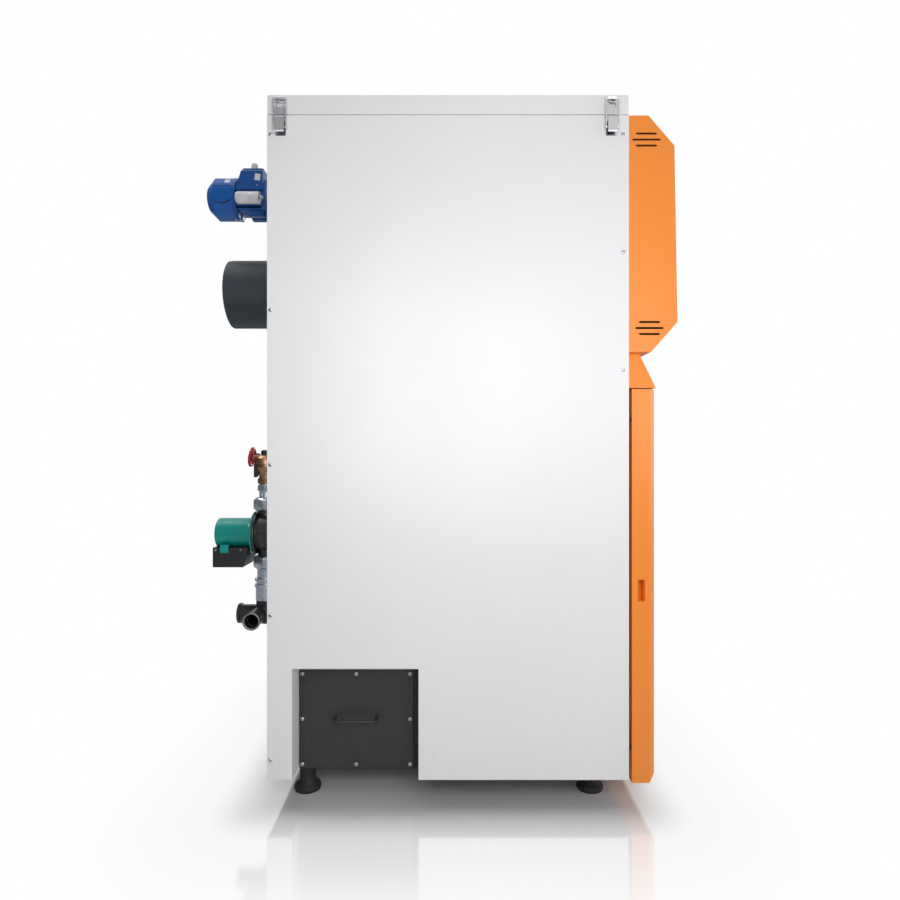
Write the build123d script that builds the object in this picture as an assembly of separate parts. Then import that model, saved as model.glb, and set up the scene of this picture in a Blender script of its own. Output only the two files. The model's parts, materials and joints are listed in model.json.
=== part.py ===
from build123d import *
import math
import os

# Pellet boiler, millimetres. Z is up and the floor is Z = 0. The orange front faces -Y, the flue leaves
# at +Y, and the side with the lid latches and the ash cover faces -X. The origin lies under the middle.

# Casing
casing_width = 560.0
casing_depth = 724.0
casing_front_y = -423.0
foot_height = 58.0
casing_height = 1330.0
lid_height = 40.0
panel_sheet = 1.5
panel_flange = 18.0
panel_top_drop = 22.0
top_angle_width = 20.0
top_angle_rear_width = 12.0
top_angle_sheet = 2.0
rear_hole_gap = 10.0
rear_bridge_height = 6.0
pipe_hole_gap = 2.0
lid_corner_radius = 3.0

# Base frame, floor pan and feet
frame_rail_width = 30.0
frame_rail_height = 40.0
frame_wall = 2.5
frame_end_inset = 18.0
pan_sheet = 2.0
foot_disc_radius = 28.0
foot_disc_height = 12.0
foot_flare_height = 10.0
foot_neck_radius = 16.5
foot_edge = 3.0
foot_stem_radius = 8.0
foot_nut_radius = 14.0
foot_nut_height = 8.0
foot_top_nut_flats = 19.6
foot_rear_inset = 64.0
foot_front_inset = 61.0

# Recess and ash cover in the -X side
recess_width = 253.0
recess_rear_inset = 50.0
recess_height = 222.0
recess_depth = 67.0
window_top_drop = 40.0
cover_sheet = 3.0
cover_width = 238.5
cover_height = 206.0
cover_drop = 6.0
cover_edge_gap = 0.5
cover_screw_inset_y = 6.5
cover_screw_inset_z = 8.5
gasket_thickness = 2.0
gasket_width = 11.0
bow_handle_length = 92.0
bow_handle_reach = 26.0
bow_handle_radius = 3.0
bow_handle_rise = 107.0

# Screws
screw_head_radius = 4.2
screw_head_height = 2.4
screw_shank_radius = 2.0
screw_length = 8.0
screw_hole_gap = 0.2
side_screw_rear_inset = 7.0
side_screw_front_inset = 11.0
side_screw_rear_shares = (0.971, 0.707, 0.474, 0.247, 0.03)
side_screw_front_shares = (0.971, 0.794, 0.617)

# Front bonnet, cowl and door
bonnet_height = 473.0
bonnet_top_drop = 1.0
bonnet_top_depth = 39.0
bonnet_upper_depth = 91.0
bonnet_lower_depth = 97.0
bonnet_bottom_depth = 44.0
bonnet_shoulder_drop = 60.0
bonnet_belly_rise = 60.0
cowl_height = 72.0
cowl_top_depth = 24.0
cowl_bottom_depth = 54.0
cowl_taper = 14.0
front_sheet = 1.5
sleeve_side_gap = 14.0
sleeve_end_gap = 8.0
gear_hole_gap = 2.0
slot_height = 4.0
slot_pitch = 12.0
slot_length = 42.0
slot_long_length = 56.0
slot_upper_depth = 35.0
slot_lower_depth = 41.0
slot_group_inset = 48.0
panel_width = 190.0
panel_height = 84.0
panel_drop = 88.0
panel_corner = 6.0
panel_lip = 6.0
panel_lip_thickness = 2.0
panel_body_depth = 26.0
glass_width = 92.0
glass_height = 52.0
glass_thickness = 1.5
glass_gap = 0.2
knob_radius = 14.0
knob_height = 12.0
knob_shaft_radius = 3.0
knob_shaft_length = 9.0
knob_offset = 70.0
knob_well_gap = 3.0
knob_stand_off = 0.5
rocker_width = 14.0
rocker_length = 22.0
rocker_depth = 7.0
rocker_offset = -70.0
rocker_tilt = 8.0
rocker_gap = 1.2
rocker_pin_radius = 1.5
rocker_sink = 3.0
door_gap = 6.0
door_depth = 48.0
door_drop = 6.0
door_top_gap = 2.0
door_bevel = 13.0
pull_rear_inset = 12.0
pull_width = 14.0
pull_rise = 363.0
pull_height = 43.0
pull_depth = 22.0
bumper_radius = 4.0
bumper_length = 5.4
bumper_inset = 9.0
bumper_lower_rise = 70.0
bumper_upper_drop = 60.0

# Door plug that closes the firebox
plug_margin = 12.0
plug_sheet = 2.0
board_thickness = 30.0
rope_width = 10.0
rope_thickness = 8.0
seal_gap = 0.3

# Hinges on the +X side
hinge_axis_offset = 8.0
hinge_knuckle_radius = 6.0
hinge_pin_radius = 3.0
hinge_pin_head_radius = 4.5
hinge_pin_head_height = 2.0
hinge_bore_gap = 0.05
hinge_knuckle_length = 22.0
hinge_knuckle_gap = 0.4
hinge_leaf_thickness = 2.0
hinge_leaf_reach = 30.0
door_hinge_lower_rise = 148.0
door_hinge_upper_drop = 140.0
lid_hinge_inset = 83.0
lid_hinge_axis_drop = 2.0

# Toggle latches on the -X side
latch_rear_inset = 27.0
latch_front_inset = 35.0
latch_base_width = 22.0
latch_base_drop = 42.0
latch_base_height = 38.0
latch_base_sheet = 1.2
latch_ear_inner = 5.6
latch_ear_sheet = 1.2
latch_ear_radius = 3.4
latch_ear_top_drop = 5.0
latch_ear_low_drop = 14.0
latch_pivot_reach = 8.0
latch_pivot_drop = 14.0
latch_pin_radius = 1.5
latch_bore_gap = 0.05
lever_width = 19.0
lever_sheet = 1.2
lever_drop = 40.0
lever_cover_reach = 13.0
bail_pivot_reach = 6.0
bail_pivot_drop = 27.0
bail_width = 27.0
bail_wire_radius = 1.4
bail_bar_rise = 28.0
bail_bar_reach = 9.0
bail_web_drop = 3.0
bail_web_height = 14.0
keeper_width = 19.0
keeper_rise = 12.0
keeper_height = 24.0
keeper_reach = 7.0

# Boiler body
body_side_gap = 85.0
body_front_gap = 88.0
body_rear_gap = 56.0
body_height = 780.0
body_wall = 4.0
fire_wall = 6.0
firebox_side_inset = 45.0
firebox_rear_inset = 245.0
firebox_top_drop = 50.0
firebox_floor_rise = 24.0
fire_opening_rise = 4.0
fire_opening_height = 504.0
turn_rear_inset = 150.0
turn_height = 60.0
collector_depth = 209.0
collector_height = 136.0
tube_bore_radius = 25.0
tube_wall = 3.5
tube_columns = 4
tube_pitch = 72.0
tube_down_inset = 195.0
tube_up_inset = 41.0
tube_up_pitch = 62.0
turbulator_side_gap = 9.0
turbulator_drop = 2.0
turbulator_stem = 30.0
turbulator_share = 0.72
turbulator_fold = 36.0
turbulator_sheet = 2.4
turbulator_half_depth = 9.0
turbulator_wire_radius = 2.0
socket_outer_radius = 23.0
socket_bore_radius = 16.6
socket_hole_gap = 0.5
socket_ring_width = 5.0
socket_ring_depth = 3.0
return_drop = 190.0
return_socket_length = 17.0
flow_x = -110.0
flow_drop = 30.0
flow_socket_length = 80.0
insulation_thickness = 25.0
insulation_front_inset = 8.0
passage_gap = 2.0
insulation_gap = 0.5
insulation_rise = 6.0

# Fuel feed
hopper_side_gap = 26.0
hopper_front_gap = 25.0
hopper_rear_gap = 209.0
hopper_rim_height = 28.0
hopper_flange = 18.0
deck_side_gap = 8.0
deck_rear_gap = 6.0
hopper_sheet = 2.0
hopper_box_depth = 148.0
hopper_outlet_half_width = 26.0
hopper_outlet_length = 100.0
hopper_outlet_inset = 18.0
hopper_collar_height = 10.0
hopper_collar_rise = 2.0
lid_seal_width = 10.0
seal_overlap = 2.0
auger_rise = 82.0
gear_case_rise = 10.0
auger_spout_drop = 8.0
auger_end_gap = 4.0
auger_flight_root = 0.5
auger_tube_radius = 38.0
auger_tube_wall = 3.0
auger_tube_front_gap = 18.0
auger_tube_length = 353.0
auger_end_plate = 4.0
auger_radius = 31.0
auger_shaft_radius = 9.0
auger_shaft_gap = 0.1
auger_pitch = 60.0
auger_flight = 3.0
auger_turns = 3.5
drop_inset = 115.0
drop_radius = 36.0
drop_wall = 2.0
drop_end_rise = 210.0
drop_gap = 0.5
drop_slant = 45.0
gear_box_half = 38.0
gear_box_depth = 40.0
gear_box_corner = 8.0
gear_wall = 8.0
gear_slot_pitch = 12.0
gear_slot_width = 6.0
gear_slot_depth = 3.0
gear_slot_front_gap = 6.0
gear_motor_radius = 30.0
gear_motor_length = 28.0
gear_motor_edge = 4.0
gear_motor_grooves = 24
gear_motor_groove_depth = 3.0
gear_motor_groove_width = 1.6
gear_motor_groove_margin = 6.0

# Burner and ash
grate_rise = 206.0
grate_thickness = 8.0
grate_edge_gap = 1.0
grate_front_gap = 9.0
grate_slot_pitch = 32.0
grate_slot_width = 10.0
grate_slot_gap = 14.0
bracket_width = 10.0
bracket_front_gap = 16.0
bracket_rear_gap = 8.0
pot_half = 62.0
pot_seat_overlap = 14.0
pot_height = 84.0
pot_wall = 7.0
pot_inset = 73.0
pot_hole_radius = 4.0
pot_corner_radius = 8.0
pot_hole_rows = 2
pot_holes_per_side = 4
pot_first_hole_rise = 30.0
pot_hole_rise = 24.0
pot_hole_pitch = 22.0
pot_floor_slots = 7
pot_slot_pitch = 12.0
pot_slot_width = 4.0
pot_slot_margin = 17.0
igniter_radius = 6.0
igniter_length = 120.0
igniter_rise = 14.0
igniter_gap = 1.0
igniter_foot_margin = 4.0
igniter_foot_depth = 6.0
drawer_side_gap = 10.0
drawer_front_gap = 11.0
drawer_rear_gap = 12.0
drawer_height = 120.0
drawer_sheet = 2.0
drawer_runner_height = 5.0
drawer_runner_width = 12.0
drawer_grip_length = 110.0
drawer_grip_height = 28.0
drawer_grip_margin = 7.0
drawer_grip_sheet = 3.0

# Smoke path and draught fan
riser_half_width = 140.0
riser_front_inset = 133.0
riser_rear_inset = 42.0
riser_hood_inset = 7.0
riser_hood_height = 70.0
riser_top_drop = 8.0
riser_sheet = 2.0
fan_drop = 63.0
scroll_depth = 67.0
scroll_radius = 77.0
scroll_drop = 22.0
scroll_sheet = 2.0
fan_inlet_radius = 40.0
fan_mouth_radius = 54.0
impeller_radius = 50.0
impeller_depth = 46.0
impeller_plate = 2.0
impeller_hub_radius = 14.0
impeller_blades = 10
fan_shaft_radius = 6.0
flue_drop = 231.0
flue_radius = 80.0
flue_wall = 2.0
flue_reach = 160.0
flue_flange_radius = 92.0
flue_flange_sheet = 3.0
flue_box_half_width = 98.0
flue_box_half_height = 94.0
flue_box_gap = 16.0
motor_plate_half = 60.0
motor_plate_thickness = 4.0
cooling_disc_radius = 34.0

# Blue fan motor
motor_reach = 70.0
motor_flange_radius = 45.0
motor_flange_thickness = 6.0
motor_shaft_gap = 1.0
motor_standoff_radius = 6.0
motor_standoff_circle = 38.0
stator_length = 77.0
stator_core_radius = 36.0
stator_fin_radius = 43.0
stator_fin_pitch = 8.0
stator_fin_thickness = 3.0
stator_fin_steps = 4
stator_fin_end_gap = 3.0
stator_ring_depth = 8.0
stator_seat_depth = 5.0
stator_bore_front = 9.0
stator_bore_rear = 11.0
motor_pad_inner = 6.0
motor_pad_outer = 22.0
motor_pad_drop = 46.0
motor_pad_front_length = 36.0
motor_pad_rear_length = 7.0
motor_pad_gap = 23.0
motor_pad_front_inset = 5.0
stator_bore_radius = 24.0
rotor_gap = 0.5
motor_cowl_radius = 49.5
motor_cowl_sheet = 1.5
motor_cowl_straight = 48.0
motor_cowl_taper = 19.0
motor_cowl_rim_drop = 19.5
cowl_slot_rings = ((12.0, 6), (22.0, 10))
cowl_slot_width = 5.0
cowl_slot_bridge = 6.0
cooling_blade_gap = 7.0
cooling_hub_radius = 12.0
cooling_blade_count = 6
terminal_half_width = 46.0
terminal_skirt_rise = 8.0
terminal_rise = 57.0
terminal_lid_height = 3.0
terminal_slant = 16.0
terminal_edge = 5.0
terminal_rear_gap = 5.0
terminal_plug_radius = 7.0
terminal_plug_height = 19.0
terminal_plug_x = -22.0
terminal_plug_inset = 26.0
terminal_plug_fillet = 5.0
capacitor_radius = 14.0
capacitor_x = -57.5
capacitor_drop = 16.0
capacitor_length = 56.0
capacitor_front_gap = 10.0
capacitor_fillet = 6.0
capacitor_stud_radius = 3.0
capacitor_stud_length = 8.0
capacitor_bracket_inset = 20.0
capacitor_bracket_length = 12.0
capacitor_bracket_half = 5.0

# Return line at the rear
pipe_reach = 80.0
pump_drop = 173.0
pump_port_span = 138.0
pump_volute_front = 28.0
pump_volute_rear = 24.0
pump_volute_lip = 8.0
pump_volute_fillet = 9.0
pump_bulge_height = 24.0
pump_bulge_inset = 8.0
pump_bulge_shift = 14.0
pump_bulge_rise = 6.0
port_neck_growth = 3.0
port_rim_growth = 6.0
port_rim_height = 10.0
port_bore_depth = 20.0
pump_volute_radius = 44.0
pump_rim_radius = 50.0
pump_rim_thickness = 6.0
pump_groove_radius = 41.0
pump_groove_width = 4.0
pump_flange_radius = 52.0
pump_flange_thickness = 4.0
pump_motor_radius = 36.0
pump_motor_length = 91.5
pump_can_fillet = 5.0
pump_flange_chamfer = 1.0
pump_screw_radius = 3.6
pump_screw_inset = 5.5
pump_screw_turn = 152.0
pump_screw_height = 3.5
pump_box_half_width = 40.0
pump_box_front_gap = 9.0
pump_box_rear_reach = 2.0
pump_box_top_drop = 31.0
pump_box_drop = 77.0
pump_box_slope_height = 30.0
pump_box_slope_depth = 12.0
pump_box_fillet = 4.0
pump_clip_sheet = 2.0
pump_clip_width = 20.0
pump_clip_rear_inset = 17.0
pump_clip_overlap = 12.0
pump_clip_top_drop = 24.0
pump_clip_inner_x = -20.0
pump_knob_drop = 56.0
pump_knob_seat = 1.5
pump_knob_height = 6.0
pump_knob_grip = 2.0
pump_knob_stem_radius = 3.0
pump_knob_stem_depth = 7.0
pump_knob_radius = 11.0
running_gap = 0.3
union_radius = 27.0
union_nut_grip = 15.0
union_nut_chamfer = 7.0
nut_chamfer = 3.0
pipe_radius = 16.7
pipe_wall = 3.2
tail_length = 10.0
nut_flats = 37.0
union_nut_reach = 17.0
nipple_length = 50.0
nipple_nut_rise = 32.0
nipple_nut_height = 16.0
coupling_radius = 25.0
coupling_height = 32.0
coupling_ring_radius = 27.5
coupling_ring_height = 7.0
coupling_neck_radius = 23.0
lower_pipe_radius = 21.5
tee_drop = 195.0
tee_body_radius = 21.0
tee_thread_depth = 20.0
tee_side_reach = 80.0
tee_side_shift = 13.0
tee_neck_radius = 18.5
tee_bell_length = 20.0
tee_rim_length = 6.0
tee_rear_reach = 66.0
tee_band_length = 12.0
tee_band_growth = 3.0
tee_heel_fillet = 15.0
tee_up_reach = 34.0
valve_radius = 20.0
valve_height = 70.0
valve_foot_height = 14.0
valve_foot_flats = 37.0
valve_neck_radius = 17.0
valve_neck_height = 28.0
valve_belly_radius = 23.0
valve_belly_low = 36.0
valve_belly_high = 43.0
valve_groove_radius = 21.0
valve_ring_low = 48.0
valve_ring_high = 54.0
valve_ring_radius = 28.0
valve_cover_half_width = 7.0
valve_cover_depth = 12.0
valve_cover_height = 32.0
valve_cover_slant = 9.0
valve_band_length = 16.0
valve_cap_radius = 13.0
valve_cap_height = 12.0
return_nipple_length = 14.0
wheel_radius = 25.0
wheel_reach = 35.0
wheel_rise = 11.0
wheel_tilt = 8.0
spindle_start = 18.0
spindle_house_length = 12.0
spindle_house_radius = 11.0
spindle_radius = 3.0
wheel_rim_radius = 4.0
wheel_hub_radius = 7.0
wheel_hub_height = 8.0
wheel_spokes = 5
wheel_spoke_width = 5.0

# Planes and sizes that follow from the values above

# Casing, recess and front
side_x = casing_width / 2
casing_rear_y = casing_front_y + casing_depth
casing_bottom_z = foot_height
casing_top_z = casing_bottom_z + casing_height
lid_top_z = casing_top_z + lid_height
front_sheet_y = casing_front_y + panel_sheet
rear_sheet_y = casing_rear_y - panel_sheet
inner_x = side_x - panel_sheet
pan_top_z = casing_bottom_z + pan_sheet
frame_top_z = pan_top_z + frame_rail_height
frame_half_width = side_x - recess_depth
foot_x = frame_half_width - frame_rail_width / 2
foot_rear_y = casing_rear_y - foot_rear_inset
foot_front_y = casing_front_y + foot_front_inset
recess_back_x = -side_x + recess_depth
recess_rear_y = casing_rear_y - recess_rear_inset
recess_front_y = recess_rear_y - recess_width
recess_top_z = casing_bottom_z + recess_height
cover_bottom_z = casing_bottom_z - cover_drop
bow_handle_z = cover_bottom_z + bow_handle_rise
side_screw_rear_heights = [casing_bottom_z + share * casing_height for share in side_screw_rear_shares]
side_screw_front_heights = [casing_bottom_z + share * casing_height for share in side_screw_front_shares]
bonnet_bottom_z = casing_top_z - bonnet_top_drop - bonnet_height
cowl_bottom_z = bonnet_bottom_z - cowl_height
door_bottom_z = casing_bottom_z - door_drop
door_top_z = cowl_bottom_z - door_top_gap
door_rear_y = casing_front_y - door_gap
door_front_y = door_rear_y - door_depth
pull_bottom_z = door_bottom_z + pull_rise
bumper_heights = (door_bottom_z + bumper_lower_rise, door_top_z - bumper_upper_drop)

# Hinges and latches
hinge_axis_x = side_x + hinge_axis_offset
door_hinge_y = casing_front_y - door_gap / 2
door_hinge_heights = (door_bottom_z + door_hinge_lower_rise, door_top_z - door_hinge_upper_drop)
lid_hinge_z = casing_top_z - lid_hinge_axis_drop
lid_hinge_places = (casing_front_y + lid_hinge_inset, casing_rear_y - lid_hinge_inset)
latch_rear_y = casing_rear_y - latch_rear_inset
latch_front_y = casing_front_y + latch_front_inset
latch_base_bottom_z = casing_top_z - latch_base_drop
latch_pivot_z = casing_top_z - latch_pivot_drop
lever_bottom_z = casing_top_z - lever_drop
bail_pivot_z = casing_top_z - bail_pivot_drop
bail_bar_z = casing_top_z + bail_bar_rise
bail_web_bottom_z = casing_top_z - bail_web_drop
bail_web_top_z = bail_web_bottom_z + bail_web_height
keeper_bottom_z = casing_top_z + keeper_rise
keeper_top_z = keeper_bottom_z + keeper_height

# Boiler body
body_half_width = side_x - body_side_gap
body_front_y = casing_front_y + body_front_gap
body_rear_y = casing_rear_y - body_rear_gap
body_top_z = frame_top_z + body_height
firebox_half_width = body_half_width - firebox_side_inset
firebox_rear_y = body_rear_y - firebox_rear_inset
firebox_top_z = body_top_z - firebox_top_drop
firebox_floor_z = frame_top_z + firebox_floor_rise
fire_opening_bottom_z = firebox_floor_z + fire_opening_rise
fire_opening_top_z = fire_opening_bottom_z + fire_opening_height
plug_half_width = firebox_half_width + plug_margin
plug_bottom_z = fire_opening_bottom_z - plug_margin
plug_top_z = fire_opening_top_z + plug_margin
turn_rear_y = body_rear_y - turn_rear_inset
turn_bottom_z = firebox_top_z - turn_height
collector_rear_y = body_rear_y - body_wall - fire_wall
collector_front_y = collector_rear_y - collector_depth
collector_bottom_z = frame_top_z + body_wall + fire_wall
collector_top_z = collector_bottom_z + collector_height
tube_places_x = [(column - (tube_columns - 1) / 2) * tube_pitch for column in range(tube_columns)]
tube_down_y = body_rear_y - tube_down_inset
tube_up_rows_y = (body_rear_y - tube_up_inset - tube_up_pitch, body_rear_y - tube_up_inset)
return_z = body_top_z - return_drop
return_socket_end_y = body_rear_y + return_socket_length
flow_z = body_top_z - flow_drop
flow_socket_end_y = body_rear_y + flow_socket_length
insulation_bottom_z = recess_top_z + insulation_rise

# Fuel feed and burner
grate_z = firebox_floor_z + grate_rise
pot_y = body_front_y + pot_inset
drawer_half_width = firebox_half_width - drawer_side_gap
drawer_front_y = body_front_y + drawer_front_gap
drawer_rear_y = firebox_rear_y - drawer_rear_gap
gear_case_low_z = max(body_top_z + auger_rise - gear_box_half, bonnet_bottom_z + gear_case_rise)
auger_z = gear_case_low_z + gear_box_half
auger_tube_front_y = casing_front_y + auger_tube_front_gap
auger_tube_rear_y = auger_tube_front_y + auger_tube_length
drop_y = auger_tube_front_y + drop_inset
drop_end_z = grate_z + drop_end_rise
hopper_half_width = side_x - hopper_side_gap
hopper_front_y = casing_front_y + hopper_front_gap
hopper_rear_y = casing_rear_y - hopper_rear_gap
hopper_break_z = casing_top_z - hopper_box_depth
hopper_outlet_rear_y = auger_tube_rear_y - hopper_outlet_inset
hopper_outlet_front_y = hopper_outlet_rear_y - hopper_outlet_length

# Smoke path, fan and motor
riser_front_y = body_rear_y - riser_front_inset
riser_rear_y = body_rear_y - riser_rear_inset
riser_hood_rear_y = body_rear_y - riser_hood_inset
riser_hood_top_z = body_top_z + riser_hood_height
fan_z = casing_top_z - fan_drop
flue_z = fan_z - flue_drop
flue_box_rear_y = casing_rear_y - flue_box_gap
motor_front_y = casing_rear_y + motor_reach
stator_end_y = motor_front_y + stator_length
motor_cowl_straight_y = stator_end_y + motor_cowl_straight
motor_cowl_end_y = motor_cowl_straight_y + motor_cowl_taper
terminal_bottom_z = fan_z + terminal_skirt_rise
terminal_top_z = fan_z + terminal_rise
capacitor_z = fan_z - capacitor_drop
capacitor_front_y = motor_front_y + capacitor_front_gap
capacitor_rear_y = capacitor_front_y + capacitor_length

# Return line
pipe_y = casing_rear_y + pipe_reach
pump_z = return_z - pump_drop
pump_volute_front_y = pipe_y - pump_volute_front
pump_volute_rear_y = pipe_y + pump_volute_rear
pump_motor_end_y = pump_volute_rear_y + pump_motor_length
tee_z = pump_z - tee_drop
wheel_y = pipe_y + wheel_reach
wheel_z = return_z + wheel_rise


def block(x0, x1, y0, y1, z0, z1):
    """Box given by its two corners."""
    middle = Pos((x0 + x1) / 2, (y0 + y1) / 2, (z0 + z1) / 2)
    return middle * Box(x1 - x0, y1 - y0, z1 - z0)


def rod_x(radius, x0, x1, y, z):
    return Pos((x0 + x1) / 2, y, z) * Rot(0, 90, 0) * Cylinder(radius, x1 - x0)


def rod_y(radius, y0, y1, x, z):
    return Pos(x, (y0 + y1) / 2, z) * Rot(90, 0, 0) * Cylinder(radius, y1 - y0)


def rod_z(radius, z0, z1, x, y):
    return Pos(x, y, (z0 + z1) / 2) * Cylinder(radius, z1 - z0)


def tube_y(outer, inner, y0, y1, x, z):
    return rod_y(outer, y0, y1, x, z) - rod_y(inner, y0, y1, x, z)


def tube_z(outer, inner, z0, z1, x, y):
    return rod_z(outer, z0, z1, x, y) - rod_z(inner, z0, z1, x, y)


def side_prism(points, x0, x1):
    """Outline of (y, z) points carried from x0 to x1."""
    outline = make_face(Plane.YZ.offset(x0) * Polyline(*points, close=True))
    return extrude(outline, amount=x1 - x0, dir=(1, 0, 0))


def front_prism(points, y0, y1):
    """Outline of (x, z) points carried from y0 to y1."""
    outline = make_face(Plane.XZ.offset(-y0) * Polyline(*points, close=True))
    return extrude(outline, amount=y1 - y0, dir=(0, 1, 0))


def hex_z(across_flats, z0, z1, x, y):
    """Upright hexagon of a nut."""
    outline = RegularPolygon(across_flats / 2, 6, major_radius=False)
    return Pos(x, y, z0) * extrude(outline, amount=z1 - z0)


def joined(pieces):
    """One solid from pieces that touch or cross."""
    whole = pieces[0]
    for piece in pieces[1:]:
        whole = whole + piece
    return whole


def group(pieces):
    """Separate solids that share one node."""
    return Compound(children=[solid for piece in pieces for solid in piece.solids()])


# Base frame, pan and feet

def foot_places():
    return [(x, y) for x in (-foot_x, foot_x) for y in (foot_front_y, foot_rear_y)]


def base_frame():
    """Ring of channel, open to the inside, that carries the boiler body."""
    front_y = casing_front_y + frame_end_inset
    rear_y = casing_rear_y - frame_end_inset
    half = frame_half_width
    rail = frame_rail_width
    wall = frame_wall
    ring = block(-half, half, front_y, rear_y, pan_top_z, frame_top_z)
    ring -= block(-half + rail, half - rail, front_y + rail, rear_y - rail, pan_top_z, frame_top_z)
    low_z = pan_top_z + wall
    high_z = frame_top_z - wall
    groove = block(-half + wall, half - wall, front_y + wall, rear_y - wall, low_z, high_z)
    ring -= groove
    for x, y in foot_places():
        ring -= rod_z(foot_stem_radius, pan_top_z, pan_top_z + wall, x, y)
    return ring


def floor_pan():
    pan = block(-inner_x, inner_x, front_sheet_y, rear_sheet_y, casing_bottom_z, pan_top_z)
    recess_y0 = recess_front_y - panel_sheet
    recess_y1 = recess_rear_y + panel_sheet
    pan -= block(-side_x, recess_back_x, recess_y0, recess_y1, 0, pan_top_z)
    for x, y in foot_places():
        pan -= rod_z(foot_stem_radius, casing_bottom_z, pan_top_z, x, y)
    return pan


def levelling_feet():
    """Foot with its disc, flared neck, threaded stem and nuts under each corner of the frame."""
    flats = 2 * foot_nut_radius
    stem_top_z = pan_top_z + frame_wall + foot_nut_height
    lock_nut_z = casing_bottom_z - foot_nut_height
    flare = Cone(foot_disc_radius - foot_edge, foot_neck_radius, foot_flare_height)
    feet = []
    for x, y in foot_places():
        disc = rod_z(foot_disc_radius, 0, foot_disc_height, x, y)
        disc = chamfer(disc.edges().group_by(Axis.Z)[-1], foot_edge)
        neck = Pos(x, y, foot_disc_height + foot_flare_height / 2) * flare
        neck += rod_z(foot_neck_radius, foot_disc_height + foot_flare_height, lock_nut_z, x, y)
        stem = rod_z(foot_stem_radius, lock_nut_z, stem_top_z, x, y)
        lock_nut = hex_z(flats, lock_nut_z, casing_bottom_z, x, y)
        top_nut = hex_z(foot_top_nut_flats, stem_top_z - foot_nut_height, stem_top_z, x, y)
        feet.append(joined([disc, neck, stem, lock_nut, top_nut]))
    return group(feet)


# Casing

def side_screw_places():
    rear_y = casing_rear_y - side_screw_rear_inset
    front_y = casing_front_y + side_screw_front_inset
    rear = [(rear_y, z) for z in side_screw_rear_heights]
    return rear + [(front_y, z) for z in side_screw_front_heights]


def plain_side_panel():
    """Sheet with a flange folded in along its front and rear edges, for the +X side."""
    panel = block(inner_x, side_x, casing_front_y, casing_rear_y, casing_bottom_z, casing_top_z)
    for y in (casing_front_y, rear_sheet_y):
        panel += block(side_x - panel_flange, side_x, y, y + panel_sheet, casing_bottom_z, casing_top_z)
    hole_radius = screw_shank_radius + screw_hole_gap
    for y, z in side_screw_places():
        panel -= rod_x(hole_radius, inner_x, side_x, y, z)
    return panel


def right_side_panel():
    return plain_side_panel()


def left_side_panel():
    """The +X panel mirrored, with the notch, and the recess tray set against its inner face."""
    y0 = recess_front_y
    y1 = recess_rear_y
    z1 = recess_top_z
    t = panel_sheet
    back = recess_back_x
    sheet = mirror(plain_side_panel(), about=Plane.YZ)
    sheet -= block(-side_x, -inner_x, y0, y1, casing_bottom_z, z1)
    tray = block(-inner_x, back, y0 - t, y1 + t, casing_bottom_z, z1 + t)
    tray -= block(-inner_x, back - t, y0, y1, casing_bottom_z, z1)
    window_top_z = z1 - window_top_drop
    tray -= block(back - t, back, collector_front_y, collector_rear_y, collector_bottom_z, window_top_z)
    for y, z in cover_screw_places():
        tray -= rod_x(screw_shank_radius + screw_hole_gap, back - t, back, y, z)
    return group([sheet, tray])


def casing_screws():
    """Pan head screws in both side panels."""
    screws = []
    for y, z in side_screw_places():
        for side in (-1, 1):
            screws.append(pan_screw(side * side_x, y, z, side, screw_length))
    return group(screws)


def pan_screw(face_x, y, z, side, length):
    """Screw along X whose head stands on the plane x = face_x, outward on the given side."""
    head = rod_x(screw_head_radius, 0, screw_head_height, 0, 0)
    head = chamfer(head.edges().group_by(Axis.X)[-1], 1.0)
    shank = rod_x(screw_shank_radius, -length, 0, 0, 0)
    screw = head + shank
    if side < 0:
        screw = mirror(screw, about=Plane.YZ)
    return Pos(face_x, y, z) * screw


def rear_panel():
    """Rear sheet with the holes for the fan, the flue and the water sockets."""
    y0 = rear_sheet_y - panel_sheet
    y1 = rear_sheet_y
    top_z = casing_top_z - panel_top_drop
    panel = block(-inner_x, inner_x, y0, y1, pan_top_z, top_z)
    fan_hole = rod_y(motor_standoff_circle + rear_hole_gap, y0, y1, 0, fan_z)
    panel -= fan_hole - block(-side_x, side_x, y0, y1, top_z - rear_bridge_height, top_z)
    panel -= rod_y(flue_radius + pipe_hole_gap, y0, y1, 0, flue_z)
    panel -= rod_y(socket_outer_radius + pipe_hole_gap, y0, y1, 0, return_z)
    return panel - rod_y(socket_outer_radius + pipe_hole_gap, y0, y1, flow_x, flow_z)


def front_frame():
    """Front sheet with the firebox opening, folded back to the boiler body."""
    y0 = front_sheet_y
    y1 = front_sheet_y + front_sheet
    t = front_sheet
    frame = block(-inner_x, inner_x, y0, y1, pan_top_z, casing_top_z - panel_top_drop)
    side = plug_half_width + sleeve_side_gap
    bottom_z = plug_bottom_z - sleeve_end_gap
    top_z = plug_top_z + sleeve_end_gap
    sleeve = block(-side, side, y0, body_front_y, bottom_z, top_z)
    opening = block(-side + t, side - t, y0, body_front_y, bottom_z + t, top_z - t)
    frame = frame + sleeve - opening
    hole = gear_box_half + gear_hole_gap
    return frame - block(-hole, hole, y0, y1, auger_z - hole, auger_z + hole)


def top_frame():
    """Angle ring at the top of the casing that carries the hopper, the deck and the lid."""
    y0 = front_sheet_y
    y1 = rear_sheet_y
    z0 = casing_top_z - top_angle_width
    z1 = casing_top_z
    w = top_angle_width
    t = top_angle_sheet
    ring = block(-inner_x, inner_x, y0, y1, z0, z1)
    ring -= block(-inner_x + t, inner_x - t, y0 + t, y1 - t, z0, z1 - t)
    return ring - block(-inner_x + w, inner_x - w, y0 + w, y1 - top_angle_rear_width, z0, z1)


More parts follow.
